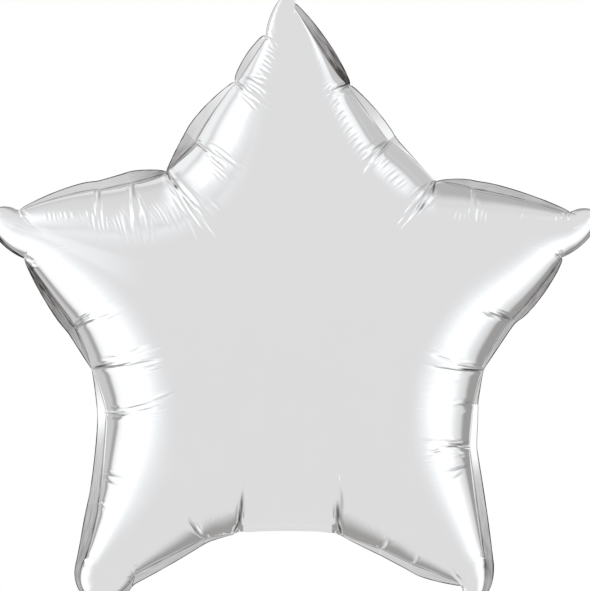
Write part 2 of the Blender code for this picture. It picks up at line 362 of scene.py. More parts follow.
@dataclass
class WeldLine:
    """The closed line where the panels are welded, with the rulings that carry the panels inwards.

    Attributes:
        half_arm_steps: Stations from a tip to a notch.
        root_steps: Stations across the root of the tail.
        lobe_steps: Points that draw one lobe.
        tip_inset: How far inside the tip an arm's middle line starts.
        foot_spread: Share of the ruling feet that is spread evenly along the middle line.
        crowding: How much closer the stations lie at a pleat.
        crowd_width: How far on each side of a pleat they lie closer.
    """

    half_arm_steps: int = 240
    root_steps: int = 80
    lobe_steps: int = 48
    tip_inset: float = 17.0 * MM
    foot_spread: float = 0.76
    crowding: float = 1.2
    crowd_width: float = 5.0 * MM

    def lobe(self, start: np.ndarray, end: np.ndarray, crown: np.ndarray) -> np.ndarray:
        """Points from one pleat to the next: start + (end - start)(1 - cos t)/2 + crown sin t.

        Args:
            start: x, z and band width where the lobe starts.
            end: The same where it ends.
            crown: What is added in its middle.

        Returns:
            Rows of x, z, band width.
        """
        turn = np.linspace(0.0, math.pi, self.lobe_steps + 1)[:, None]
        return start + (end - start) * (1 - np.cos(turn)) / 2 + crown * np.sin(turn)

    def scallop(self, start: np.ndarray, end: np.ndarray) -> np.ndarray:
        """The lobe between two pleats of one edge: crown = (-chord z, chord x) rise.

        Args:
            start: x, z, band width, rise and crown at the first pleat.
            end: The same at the second, clockwise from it.

        Returns:
            Rows of x, z, band width.
        """
        chord = (end - start)[:2]
        crown = np.array([-chord[1] * start[3], chord[0] * start[3], start[4] - (start[2] + end[2]) / 2])
        return self.lobe(start[:3], end[:3], crown)

    def half_arm(self, tip_half: np.ndarray, lobes: list[np.ndarray]) -> np.ndarray:
        """One side of an arm from its tip to its notch.

        Args:
            tip_half: Points from the tip to the neck.
            lobes: Points of each lobe from the neck to the notch.

        Returns:
            half_arm_steps + 1 rows of x, z, band width, closer together at the pleats.
        """
        line = np.concatenate([piece[:-1] for piece in [tip_half] + lobes[:-1]] + [lobes[-1]])
        run = np.concatenate([[0.0], np.cumsum(np.linalg.norm(np.diff(line[:, :2], axis=0), axis=1))])
        pleats = run[len(tip_half) - 1 :: self.lobe_steps]
        crowd = np.exp(-(((run[:, None] - pleats) / self.crowd_width) ** 2)).sum(axis=1)
        density = 1 + self.crowding * crowd
        tally = np.concatenate([[0.0], np.cumsum((density[1:] + density[:-1]) / 2 * np.diff(run))])
        stations = np.interp(np.linspace(0.0, tally[-1], self.half_arm_steps + 1), tally, run)
        return np.stack([np.interp(stations, run, line[:, axis]) for axis in range(3)], axis=1)

    def pleat_rows(self, pleats: tuple[Pleat, ...]) -> np.ndarray:
        """x, z, band width, rise and crown of each pleat, with its lengths in metres."""
        rows = [(pleat.x, pleat.z, pleat.band, pleat.rise, pleat.crown) for pleat in pleats]
        return np.array(rows) * np.array([MM, MM, MM, 1.0, MM])

    def arm_sides(self, arm: Arm, notch_after: Pleat) -> tuple[np.ndarray, np.ndarray]:
        """The two sides of an arm, each from its tip to its notch.

        Args:
            arm: The arm.
            notch_after: The pleat at the notch that follows it.

        Returns:
            The rising side and the falling side, as rows of x, z, band width.
        """
        rise = self.pleat_rows(arm.rise)
        fall = self.pleat_rows((*arm.fall, notch_after))
        middle = (rise[-1, :3] + fall[0, :3]) / 2
        end = self.lobe(rise[-1, :3], fall[0, :3], np.array(arm.tip) * MM - middle)
        half = self.lobe_steps // 2
        rising = [self.scallop(a, b)[::-1] for a, b in zip(rise[:-1], rise[1:])][::-1]
        falling = [self.scallop(a, b) for a, b in zip(fall[:-1], fall[1:])]
        return self.half_arm(end[: half + 1][::-1], rising), self.half_arm(end[half:], falling)

    def spine(self, arm: Arm) -> np.ndarray:
        """Where the rulings meet the arm's middle line: (tip - inset)(1 - f), f = a t + (1 - a) t^4.

        Args:
            arm: The arm.

        Returns:
            x, z for each station from tip to notch.
        """
        tip = np.array(arm.tip[:2]) * MM
        share = np.linspace(0.0, 1.0, self.half_arm_steps + 1)
        share = self.foot_spread * share + (1 - self.foot_spread) * share**4
        length = np.linalg.norm(tip)
        return tip / length * (length - self.tip_inset) * (1 - share)[:, None]

    def root_edge(self) -> np.ndarray:
        """The weld across the root of the tail, without its ends, ruled to the star's middle."""
        corners = np.array(ROOT_LINE) * MM
        x = np.linspace(corners[0, 0], corners[-1, 0], self.root_steps + 1)[1:-1]
        line = np.stack([x, np.interp(x, corners[::-1, 0], corners[::-1, 1])], axis=1)
        band = np.full((len(line), 1), TAIL_ROOT_PLEAT.band * MM)
        return np.hstack([line, band, np.zeros((len(line), 2))])

    def stations(self) -> np.ndarray:
        """The whole closed line.

        Returns:
            Rows of weld x, z, band width, spine x, z, clockwise from the notch left of the top arm.
        """
        rows = []
        for arm, following in zip(ARMS, ARMS[1:] + ARMS[:1]):
            root = arm is RIGHT_LEG
            rise, fall = self.arm_sides(arm, TAIL_ROOT_PLEAT if root else following.rise[0])
            spine = self.spine(arm)
            rows.append(np.hstack([rise, spine])[::-1])
            rows.append(np.hstack([fall, spine])[1 : len(fall) if root else len(fall) - 1])
            if root:
                rows.append(self.root_edge())
        return np.concatenate(rows)

    def pleats(self) -> list[Pleat]:
        """Every pleat, clockwise."""
        found = []
        for arm in ARMS:
            found += [*arm.rise, *arm.fall]
            if arm is RIGHT_LEG:
                found.append(TAIL_ROOT_PLEAT)
        return found


@dataclass
class StarPlan:
    """The star's plan, shared by every piece of film that meets the weld.

    Attributes:
        line: The weld line.
        rows: Rows of points from the weld to the arms' middle lines.
        row_power: Crowds the rows towards the weld.
        jump: Half the distance over which a value changes at a pleat.
    """

    line: WeldLine = field(default_factory=WeldLine)
    rows: int = 36
    row_power: float = 1.6
    jump: float = 0.01 * MM

    def __post_init__(self) -> None:
        """Works out the stations, their run along the weld, and the pleats' places on it."""
        rows = self.line.stations()
        self.weld = rows[:, :2]
        self.band = rows[:, 2]
        self.spine = rows[:, 3:]
        step = np.linalg.norm(np.diff(self.weld, axis=0, append=self.weld[:1]), axis=1)
        self.run = np.concatenate([[0.0], np.cumsum(step)[:-1]])
        self.length = float(step.sum())
        ruling = self.spine - self.weld
        self.inward = ruling / np.linalg.norm(ruling, axis=1)[:, None]
        self.pleats = self.line.pleats()
        places = np.array([(p.x, p.z) for p in self.pleats]) * MM
        nearest = np.linalg.norm(self.weld[:, None] - places, axis=2).argmin(axis=0)
        self.pleat_run = self.run[nearest]

    def grid(self) -> np.ndarray:
        """x, z of each point of a panel: weld + (spine - weld) v, v = (row / rows)^power."""
        share = (np.linspace(0.0, 1.0, self.rows + 1) ** self.row_power)[:, None, None]
        return self.weld + (self.spine - self.weld) * share

    def pleat_gaps(self) -> np.ndarray:
        """The signed way along the weld from each pleat to each station, stations by pleats."""
        return wrapped(self.run[:, None] - self.pleat_run, self.length)

    def along_lobes(self, before: np.ndarray, after: np.ndarray) -> np.ndarray:
        """A value that runs straight from just after one pleat to just before the next one.

        Args:
            before: The value just before each pleat, clockwise.
            after: The value just after it.

        Returns:
            One value for each station.
        """
        order = np.argsort(self.pleat_run)
        places = np.repeat(self.pleat_run[order], 2) + np.tile([-self.jump, self.jump], len(order))
        values = np.stack([before[order], after[order]], axis=1).ravel()
        return np.interp(self.run, places, values, period=self.length)

    def lobe_value(self, values: np.ndarray) -> np.ndarray:
        """For each station the value of the pleat that its lobe follows.

        Args:
            values: One value for each pleat.

        Returns:
            One value for each station.
        """
        order = np.argsort(self.pleat_run)
        place = np.searchsorted(self.pleat_run[order], self.run, side="right") - 1
        return values[order][place]


# The panels

FOLD_SHOULDER = 0.4


@dataclass
class MembraneSystem:
    """The membrane equation laplacian(u) = -1 on one grid, in linear triangles.

    Attributes:
        place: Rows by stations by x, z, with row 0 on the weld.
        decimals: Points that agree to so many decimals of a metre are one.
    """

    place: np.ndarray
    decimals: int = 7

    def __post_init__(self) -> None:
        """Assembles the equation's matrix as a list of entries, with points that coincide merged."""
        rows, stations = self.place.shape[:2]
        quads = grid_faces(rows, stations, True, False)
        rounded = np.round(self.place.reshape(-1, 2), self.decimals)
        merged, index = np.unique(rounded, axis=0, return_inverse=True)
        self.index = index.reshape(-1)
        self.count = len(merged)
        triangles = self.index[np.concatenate([quads[:, [0, 1, 2]], quads[:, [0, 2, 3]]])]
        corner = merged[triangles]
        edge = np.roll(corner, -2, axis=1) - np.roll(corner, -1, axis=1)
        area = np.abs(edge[:, 0, 0] * edge[:, 1, 1] - edge[:, 0, 1] * edge[:, 1, 0]) / 2
        sound = area > TINY
        triangles, edge, area = triangles[sound], edge[sound], area[sound]
        local = np.einsum("tia,tja->tij", edge, edge) / (4 * area[:, None, None])
        row = np.broadcast_to(triangles[:, :, None], local.shape).ravel()
        column = np.broadcast_to(triangles[:, None, :], local.shape).ravel()
        key, slot = np.unique(row * self.count + column, return_inverse=True)
        self.entry = np.bincount(slot.reshape(-1), weights=local.ravel())
        self.row, self.column = np.divmod(key, self.count)
        self.load = np.bincount(triangles.ravel(), weights=np.repeat(area / 3, 3), minlength=self.count)
        self.free = np.ones(self.count, bool)
        self.free[self.index[:stations]] = False

    def solved(self) -> np.ndarray:
        """The solution by elimination, for a coarse grid, rows by stations."""
        matrix = np.zeros((self.count, self.count))
        matrix[self.row, self.column] = self.entry
        answer = np.zeros(self.count)
        answer[self.free] = np.linalg.solve(matrix[np.ix_(self.free, self.free)], self.load[self.free])
        return answer[self.index].reshape(self.place.shape[:2])

    def product(self, values: np.ndarray) -> np.ndarray:
        """The matrix times these values, 0 on the weld.

        Args:
            values: One value for each merged point.

        Returns:
            The product, one value for each merged point.
        """
        result = np.bincount(self.row, weights=self.entry * values[self.column], minlength=self.count)
        return result * self.free

    def refined(self, guess: np.ndarray, steps: int) -> np.ndarray:
        """The solution by conjugate gradients from a guess, for a fine grid.

        Args:
            guess: Rows by stations.
            steps: How many steps are taken.

        Returns:
            u, rows by stations.
        """
        answer = np.zeros(self.count)
        answer[self.index] = guess.reshape(-1)
        answer *= self.free
        own = self.row == self.column
        diagonal = np.bincount(self.row[own], weights=self.entry[own], minlength=self.count)
        rest = self.load * self.free - self.product(answer)
        scaled = rest / diagonal
        way = scaled.copy()
        size = rest @ scaled
        for _ in range(steps):
            turned = self.product(way)
            step = size / (way @ turned)
            answer += step * way
            rest -= step * turned
            scaled = rest / diagonal
            following = rest @ scaled
            way = scaled + following / size * way
            size = following
        return answer[self.index].reshape(self.place.shape[:2])


@dataclass
class Membrane:
    """The height of the inflated film: peak (u / max u)^power, with u from the membrane equation.

    The power makes it rise steeply from the weld and stay flat in the middle.

    Attributes:
        station_stride: Every how many stations the coarse grid has one.
        row_stride: Every how many rows it has one.
        steps: Steps that refine the coarse answer on the fine grid.
        peak: Height over the middle of the star.
        power: Exponent that turns the equation's solution into a height.
        tip_reach: Distances from a tip between which its fullness fades out.
        lift_reach: Distances from a tip between which its lift fades out.
        lift_foot: Distance from the weld over which the lift comes in.
        root_half: Distances from the star's middle line between which the straight root fades out.
        root_reach: Heights up the star between which the straight root fades out.
        corner_reach: Heights between which the bends at the root's ends fade out.
        corner_blur: Half width over which those bends are rounded.
        blur_steps: Places across that width whose mean is taken.
        least: Least height of the straight root.
    """

    station_stride: int = 10
    row_stride: int = 4
    steps: int = 260
    peak: float = 67.0 * MM
    power: float = 0.58
    tip_reach: Pair = (24.0 * MM, 78.0 * MM)
    lift_reach: Pair = (25.0 * MM, 170.0 * MM)
    lift_foot: float = 14.0 * MM
    root_half: Pair = (34.5 * MM, 38.0 * MM)
    root_reach: Pair = (-132.0 * MM, -96.0 * MM)
    corner_reach: Pair = (-150.5 * MM, -141.0 * MM)
    corner_blur: float = 2.0 * MM
    blur_steps: int = 7
    least: float = 0.3 * MM

    def height(self, place: np.ndarray) -> np.ndarray:
        """The film's height over the plan.

        Args:
            place: Rows by stations by x, z of the fine grid.

        Returns:
            Heights in metres, rows by stations.
        """
        stations = place.shape[1]
        evenly = np.linspace(0, stations, stations // self.station_stride + 1)[:-1]
        picked = np.unique(np.round(evenly).astype(int))
        coarse = MembraneSystem(place[:: self.row_stride, picked]).solved()
        closed = np.concatenate([coarse, coarse[:, :1]], axis=1)
        places = np.append(picked, stations)
        rows = np.arange(0, len(place), self.row_stride)
        along = np.stack([np.interp(np.arange(stations), places, row) for row in closed])
        guess = np.stack([np.interp(np.arange(len(place)), rows, column) for column in along.T], axis=1)
        solution = np.maximum(MembraneSystem(place).refined(guess, self.steps), 0.0)
        height = self.peak * (solution / solution.max()) ** self.power
        risen = 1 - np.exp(-np.linalg.norm(place - place[0], axis=2) / self.lift_foot)
        for arm in ARMS:
            far = np.linalg.norm(place - np.array(arm.tip[:2]) * MM, axis=2)
            height *= 1 + arm.fullness * (1 - smooth_step(far, *self.tip_reach))
            height += arm.lift * MM * risen * (1 - smooth_step(far, *self.lift_reach))
        return self.straight_root(height, place)

    def straight_root(self, height: np.ndarray, place: np.ndarray) -> np.ndarray:
        """Gives the film over the root of the tail one profile: h(x, z) = h(0, z - b) between its two folds.

        b is the weld line's height there less its height in the middle of the root, and fades out upwards.

        Args:
            height: The film's height over the plan.
            place: The plan.

        Returns:
            The height with the straight root blended in.
        """
        middle = int(np.linalg.norm(place[0] - np.array(ROOT_MIDDLE) * MM, axis=1).argmin())
        across, up = place[:, :, 0], place[:, :, 1]
        corners = np.array(ROOT_LINE[::-1]) * MM
        nearby = np.linspace(-self.corner_blur, self.corner_blur, self.blur_steps)
        bend = np.mean([np.interp(across + step, corners[:, 0], corners[:, 1]) for step in nearby], axis=0)
        bend -= place[0, middle, 1]
        bend *= 1 - smooth_step(up, *self.corner_reach)
        profile = np.interp(up - bend, place[:, middle, 1], height[:, middle])
        share = 1 - smooth_step(np.abs(across), *self.root_half)
        share *= 1 - smooth_step(up, *self.root_reach)
        return height + (np.maximum(profile, self.least) - height) * share


class CreaseShape(Enum):
    """How a crease's depth runs along it."""

    FOLD = "deepest at its start"
    WRINKLE = "deepest in its middle"


@dataclass(frozen=True)
class Crease:
    """A line along which a panel's film is raised, or lowered where its height is negative.

    Attributes:
        start: Plan x, z where it starts, in metres.
        end: Plan x, z where it ends.
        height: Its greatest height.
        width: Its half width.
        shape: How the height runs along it.
        bow: How far it bows sideways in its middle.
        shoulder: Share of its height that stands the other way on both sides of it.
        dark: How dark the painted shade between its walls is.
        overrun: Share of its length by which a fold cuts in before its start.
        fade_power: Exponent with which a fold fades out.
        fold_widths: A fold's half width at its start and at its end, as shares of width.
        shoulder_place: Distance of the shoulders from its middle, in half widths.
        shoulder_width: The shoulders' half width, in its own half widths.
        reach: How far from its middle it is worked out, as a share of its length and in half widths.
    """

    start: Pair
    end: Pair
    height: float
    width: float
    shape: CreaseShape = CreaseShape.WRINKLE
    bow: float = 0.0
    shoulder: float = 0.0
    dark: float = 0.0
    overrun: ClassVar[float] = 0.12
    fade_power: ClassVar[float] = 1.3
    fold_widths: ClassVar[Pair] = (0.8, 1.6)
    shoulder_place: ClassVar[float] = 2.2
    shoulder_width: ClassVar[float] = 1.2
    reach: ClassVar[Pair] = (0.7, 6.0)

    def add_to(self, relief: np.ndarray, shadow: np.ndarray, place: np.ndarray) -> None:
        """Adds h f(t) exp(-(r/w)^2) to a relief, with t along the crease and r across it.

        f is (1 - t)^fade_power for a fold and sin^2(pi t) for a wrinkle. The shoulders are bells beside it.
        The painted shadow becomes at least dark f(t) exp(-(r/w)^2).

        Args:
            relief: Heights that are changed in place, any shape.
            shadow: Painted shadows that are changed in place.
            place: x, z of the same points.
        """
        start = np.array(self.start)
        way = np.array(self.end) - start
        length = float(np.linalg.norm(way))
        way /= length
        reach = length * self.reach[0] + self.reach[1] * self.width
        near = np.abs(place - (start + way * length / 2)).max(axis=-1) < reach
        offset = place[near] - start
        t = offset @ way / length
        r = offset @ np.array([-way[1], way[0]]) - self.bow * 4 * t * (1 - t)
        along = np.clip(t, 0.0, 1.0)
        if self.shape is CreaseShape.FOLD:
            first, last = self.fold_widths
            fade = np.where(t > -self.overrun, (1 - along) ** self.fade_power, 0.0)
            width = self.width * (first + (last - first) * along)
        else:
            fade = np.sin(math.pi * along) ** 2
            width = self.width
        bell = np.exp(-((r / width) ** 2))
        # Painted shade: the fold's bottom is darkened in the film's colour through "shadow".
        if self.dark:
            shadow[near] = np.maximum(shadow[near], self.dark * fade * bell)
        if self.shoulder:
            aside = (np.abs(r) - self.shoulder_place * width) / (self.shoulder_width * width)
            bell -= self.shoulder * np.exp(-(aside**2))
        relief[near] += self.height * fade * bell


def fold(
    x1: float, z1: float, x2: float, z2: float, height: float, width: float = 0.8, dark: float = 0.0
) -> Crease:
    """A fold that fades out at both ends, with everything in mm.

    Args:
        x1: Where it starts, across the star.
        z1: Where it starts, up the star.
        x2: Where it ends, across the star.
        z2: Where it ends, up the star.
        height: Its greatest height, negative where it cuts in.
        width: Its half width.
        dark: How dark the painted shade in it is.

    Returns:
        The crease.
    """
    start, end = (x1 * MM, z1 * MM), (x2 * MM, z2 * MM)
    return Crease(start, end, height * MM, width * MM, shoulder=FOLD_SHOULDER, dark=dark)


@dataclass(frozen=True)
class Bundle:
    """Short ridges side by side, from a first one to a last one, with everything in mm.

    Attributes:
        first: x, z of the first ridge's start and end.
        last: x, z of the last ridge's start and end.
        count: How many there are.
        height: Their usual height.
        width: Their half width.
        scatter: How far a ridge may stand off its place, as a share of the distance to the next one.
        stretch: Least and greatest share by which a ridge is longer.
        heights: Least and greatest height of a ridge, as shares of height.
    """

    first: tuple[float, float, float, float]
    last: tuple[float, float, float, float]
    count: int
    height: float
    width: ClassVar[float] = 0.7
    scatter: ClassVar[float] = 0.3
    stretch: ClassVar[Pair] = (-0.25, 0.2)
    heights: ClassVar[Pair] = (0.6, 1.15)

    def creases(self, rng: np.random.Generator) -> list[Crease]:
        """The ridges, a little uneven in place, length and height.

        Args:
            rng: The panel's random numbers.

        Returns:
            The creases.
        """
        places = np.arange(self.count) + rng.uniform(-self.scatter, self.scatter, self.count)
        share = places / max(self.count - 1, 1)
        lines = np.array(self.first) + (np.array(self.last) - np.array(self.first)) * share[:, None]
        lines[:, 2:] += (lines[:, 2:] - lines[:, :2]) * rng.uniform(*self.stretch, (self.count, 1))
        heights = self.height * rng.uniform(*self.heights, self.count)
        return [fold(*line, height, self.width) for line, height in zip(lines.tolist(), heights.tolist())]


# Folds: x1, z1, x2, z2, height and half width in mm, then how dark their painted shade is, where given.
ROOT_FOLDS = (
    fold(-41.6, -156.0, -35.8, -143.5, -0.8, 0.7, 1.3),
    fold(-36.6, -150.0, -34.8, -131.0, -0.9, 0.8, 1.3),
    fold(-35.2, -143.0, -33.0, -119.0, -0.5, 0.9, 1.0),
    fold(-35.3, -122.0, -35.3, -105.0, 0.6, 0.7),
    fold(35.8, -127.0, 35.2, -149.0, -0.9, 0.8, 1.2),
    fold(35.0, -140.0, 38.6, -158.5, -0.8, 0.7, 1.2),
    fold(37.3, -117.0, 38.9, -138.0, -0.45, 0.8, 0.45),
    fold(35.4, -104.5, 38.3, -119.0, 0.6, 0.7),
)
LEFT_FOLDS = (
    fold(-60.0, -160.0, -74.0, -139.0, -1.2, 1.0, 0.7),
    fold(-73.6, -146.0, -75.0, -133.0, 0.35),
    fold(-68.0, -146.0, -69.0, -133.0, 0.35),
    fold(-138.0, -107.5, -112.0, -114.5, -0.7, 0.8, 0.4),
    fold(-138.0, -110.5, -119.0, -120.5, -0.7, 0.8, 0.4),
    fold(-147.0, -34.2, -122.0, -29.4, -0.8, 0.8, 1.1),
    fold(-123.0, -63.6, -95.0, -55.6, -0.8, 0.8, 0.13),
    fold(-106.0, -58.5, -79.0, -49.0, -0.8, 0.9, 0.13),
    fold(-119.0, -65.4, -89.0, -59.0, -0.7, 0.8, 0.10),
    fold(-102.0, -66.0, -88.0, -60.0, -0.4),
    fold(-138.0, -66.1, -106.0, -66.1, -0.6, 1.3, 0.45),
    fold(-122.0, -33.0, -98.0, -26.5, -0.7, 0.8, 0.13),
    fold(-115.0, -34.6, -89.0, -28.6, -0.8, 0.8, 0.13),
    fold(-106.0, -38.5, -91.0, -31.5, -0.5),
    fold(-134.0, -25.4, -117.0, -23.0, -0.6, 0.8, 0.13),
    fold(-159.0, -7.0, -142.0, 2.8, -0.6, 0.8, 0.35),
    fold(-134.5, 1.0, -121.5, 5.6, -0.5, 0.8, 0.10),
    fold(-152.0, 1.0, -140.0, 8.4, -0.5, 0.8, 0.13),
)
RIGHT_FOLDS = (
    fold(134.0, -103.7, 107.0, -108.7, -0.7, 0.8, 0.5),
    fold(127.0, -107.5, 114.5, -114.7, -0.5, 0.8, 0.4),
    fold(133.0, -99.5, 121.0, -92.5, -0.8, 1.0),
    fold(134.0, -87.4, 106.0, -90.3, -0.7, 0.8, 0.6),
    fold(128.0, -85.7, 96.0, -84.8, -0.5, 0.8, 0.25),
    fold(113.0, -90.0, 101.0, -94.5, -0.4),
    fold(135.0, -58.2, 114.5, -60.0, -0.4, 0.8, 0.4),
    fold(146.0, -35.9, 116.0, -33.4, -1.0, 0.9, 1.2),
    fold(126.0, -35.5, 96.0, -30.2, -0.5, 0.8, 0.25),
    fold(163.0, 1.0, 147.0, 6.6, -0.8, 1.0, 0.8),
    fold(150.0, 1.0, 137.0, 9.3, -0.6, 0.8, 0.35),
)
TOP_FOLDS = (
    fold(-89.0, 109.0, -83.8, 99.3, -0.8, 0.8, 1.2),
    fold(-83.0, 98.6, -78.0, 93.6, -0.7, 1.0, 0.9),
    fold(-80.0, 96.0, -67.0, 74.0, -0.6, 0.7, 0.35),
    fold(-75.0, 89.0, -47.5, 53.0, 0.6),
    fold(-34.0, 178.0, -23.0, 172.0, -0.5, 0.8, 0.35),
    fold(-60.0, 130.0, -32.0, 106.3, 0.5),
    fold(106.4, 103.0, 102.6, 89.0, -0.8, 0.8, 1.2),
    fold(98.6, 86.5, 92.4, 77.2, -0.7, 0.9, 0.9),
    fold(72.5, 132.5, 57.5, 119.5, -0.7, 0.7, 0.45),
    fold(61.0, 122.0, 44.0, 99.0, 0.5),
    fold(45.0, 172.3, 32.5, 167.9, -0.8, 0.8, 1.1),
)
BUNDLES = (
    Bundle((-174.7, 79.8, -174.0, 72.5), (-156.5, 81.2, -155.8, 71.0), 7, 0.2),
    Bundle((-143.9, 85.2, -138.3, 59.5), (-132.8, 80.5, -130.5, 60.0), 5, 0.45),
    Bundle((-124.4, 79.0, -118.1, 56.0), (-100.6, 82.0, -99.2, 54.5), 8, 0.45),
    Bundle((-90.9, 79.0, -84.6, 65.0), (-81.1, 82.0, -76.9, 67.0), 5, 0.35),
    Bundle((-71.3, 82.5, -59.0, 63.5), (-65.7, 83.5, -55.5, 67.0), 3, 0.4),
    Bundle((-58.5, 132.0, -47.0, 124.5), (-57.0, 113.0, -44.5, 101.5), 6, 0.4),
    Bundle((-30.0, 179.0, -13.5, 173.5), (-36.0, 165.5, -22.5, 150.5), 7, 0.4),
    Bundle((-16.0, 205.0, -6.0, 198.8), (-23.0, 180.5, -14.5, 174.8), 8, 0.35),
    Bundle((31.0, 171.5, 24.5, 165.5), (58.0, 122.5, 48.5, 113.5), 13, 0.4),
    Bundle((71.0, 122.0, 60.2, 108.8), (74.0, 117.5, 66.0, 109.5), 3, 0.5),
    Bundle((75.0, 112.0, 66.0, 105.0), (85.0, 101.0, 75.7, 94.0), 5, 0.3),
    Bundle((90.1, 88.5, 73.8, 58.8), (101.3, 90.0, 85.5, 62.8), 4, 0.5),
    Bundle((120.8, 80.0, 118.6, 67.5), (127.8, 81.5, 125.5, 67.5), 3, 0.4),
    Bundle((137.6, 87.5, 133.2, 61.0), (144.6, 78.8, 143.1, 63.2), 4, 0.5),
    Bundle((169.0, 80.0, 169.8, 71.0), (170.0, 80.0, 170.8, 71.0), 1, 0.3),
    Bundle((194.9, 77.0, 195.7, 71.0), (202.5, 78.3, 203.3, 71.0), 3, 0.3),
)
HAND_FOLDS = (*ROOT_FOLDS, *LEFT_FOLDS, *RIGHT_FOLDS, *TOP_FOLDS)


@dataclass(frozen=True)
class Creasing:
    """The rules by which a panel is creased from its pleats.

    Attributes:
        seed: Seed of the panel's own wrinkles.
        fold_width: Half width of a pleat's fold.
        fold_bow: How far a fold may bow sideways, as a share of its length.
        shoulder: Height of a fold's shoulders, as a share of its depth.
        swell_width: Half width of the broad valley round a fold.
        swell: Its depth as a share of the fold's depth.
        fan_step: Length of fold for each wrinkle of its fan.
        fan_turn: Spread of the wrinkles' directions round the fold's, in radians.
        fan_foot: Spread of their feet across the fold, as a share of its length and as a length.
        fan_start: How far along the fold the last wrinkle starts, as a share of its length.
        fan_length: Least and greatest length of a wrinkle, as shares of the fold's.
        fan_bow: How far a wrinkle may bow sideways, as a share of the fold's length.
        fan_height: Least and greatest height of a wrinkle, as shares of the fold's depth.
        fan_width: Least and greatest half width of a wrinkle.
        ridges: Share of the wrinkles that stand up instead of cutting in.
        crimp_depth: Depths that a reflection off the film points to, where the crimps fade in and out.
        crimp_lobe: Strength of the crimps along a lobe that is wholly crinkled.
        crimp_pleat: Strength of the crimps beside a pleat for each mm of its depth.
        gather: Half width along the weld of the crimps that a pleat gathers.
    """

    seed: int
    fold_width: float = 0.95 * MM
    fold_bow: float = 0.03
    shoulder: float = 0.45
    swell_width: float = 6.5 * MM
    swell: float = 0.9
    fan_step: float = 2.6 * MM
    fan_turn: float = 0.12
    fan_foot: Pair = (0.04, 1.0 * MM)
    fan_start: float = 0.55
    fan_length: Pair = (0.3, 0.6)
    fan_bow: float = 0.04
    fan_height: Pair = (0.14, 0.50)
    fan_width: Pair = (0.6 * MM, 1.1 * MM)
    ridges: float = 0.65
    crimp_depth: Bounds = (-0.76, -0.56, -0.34, 0.00)
    crimp_lobe: float = 0.8
    crimp_pleat: float = 0.6
    gather: float = 7.0 * MM

    def creases(self, plan: StarPlan) -> list[Crease]:
        """Every crease of the panel.

        Args:
            plan: The star's plan.

        Returns:
            Folds with their swells and fans, and the bundles of ridges.
        """
        rng = np.random.default_rng(self.seed)
        found = list(HAND_FOLDS)
        for bundle in BUNDLES:
            found += bundle.creases(rng)
        for pleat in plan.pleats:
            found += self.pleat_folds(pleat, rng)
        return found

    def pleat_folds(self, pleat: Pleat, rng: np.random.Generator) -> list[Crease]:
        """A pleat's fold, the valley round it and the fan of wrinkles along it.

        Args:
            pleat: The pleat.
            rng: The panel's random numbers.

        Returns:
            The creases.
        """
        start = np.array([pleat.x, pleat.z]) * MM
        end = np.array(pleat.fold) * MM
        depth = pleat.depth * MM
        length = float(np.linalg.norm(end - start))
        way = (end - start) / length
        side = np.array([-way[1], way[0]])
        bow = rng.uniform(-self.fold_bow, self.fold_bow) * length
        found = [
            Crease(tuple(start), tuple(end), -depth, self.fold_width, CreaseShape.FOLD, bow, self.shoulder),
            Crease(tuple(start), tuple(end), -depth * self.swell, self.swell_width, CreaseShape.FOLD, bow),
        ]
        for _ in range(round(length / self.fan_step)):
            turn = rng.normal(0.0, self.fan_turn)
            first = rng.uniform(0.0, self.fan_start) * length
            last = first + rng.uniform(*self.fan_length) * length
            direction = way * math.cos(turn) + side * math.sin(turn)
            foot = start + side * rng.normal(0.0, self.fan_foot[0] * length + self.fan_foot[1])
            sign = 1 if rng.random() < self.ridges else -1
            found.append(
                Crease(
                    tuple(foot + direction * first),
                    tuple(foot + direction * last),
                    sign * rng.uniform(*self.fan_height) * depth,
                    rng.uniform(*self.fan_width),
                    bow=rng.uniform(-self.fan_bow, self.fan_bow) * length,
                )
            )
        return found

    def crimps(self, plan: StarPlan, normal: np.ndarray) -> np.ndarray:
        """How strongly the film is crimped square to the weld: s b(d), d = 1 - 2 ny^2.

        s comes from the lobe, more beside its pleats, and b fades in and out with the depth d that a
        reflection points to, so the crimps follow the slope where the film turns away from the front.

        Args:
            plan: The star's plan.
            normal: The smooth film's normals.

        Returns:
            The strength at each point, from 0 to 1.
        """
        depth = 1 - 2 * normal[:, :, 1] ** 2
        turned = smooth_step(depth, *self.crimp_depth[:2]) * (1 - smooth_step(depth, *self.crimp_depth[2:]))
        gathers = np.array([pleat.depth * self.crimp_pleat for pleat in plan.pleats])
        near = (np.exp(-((plan.pleat_gaps() / self.gather) ** 2)) * gathers).max(axis=1)
        lobes = plan.lobe_value(np.array([pleat.crinkle for pleat in plan.pleats]))
        return np.clip(turned * np.maximum(lobes * self.crimp_lobe, near), 0.0, 1.0)


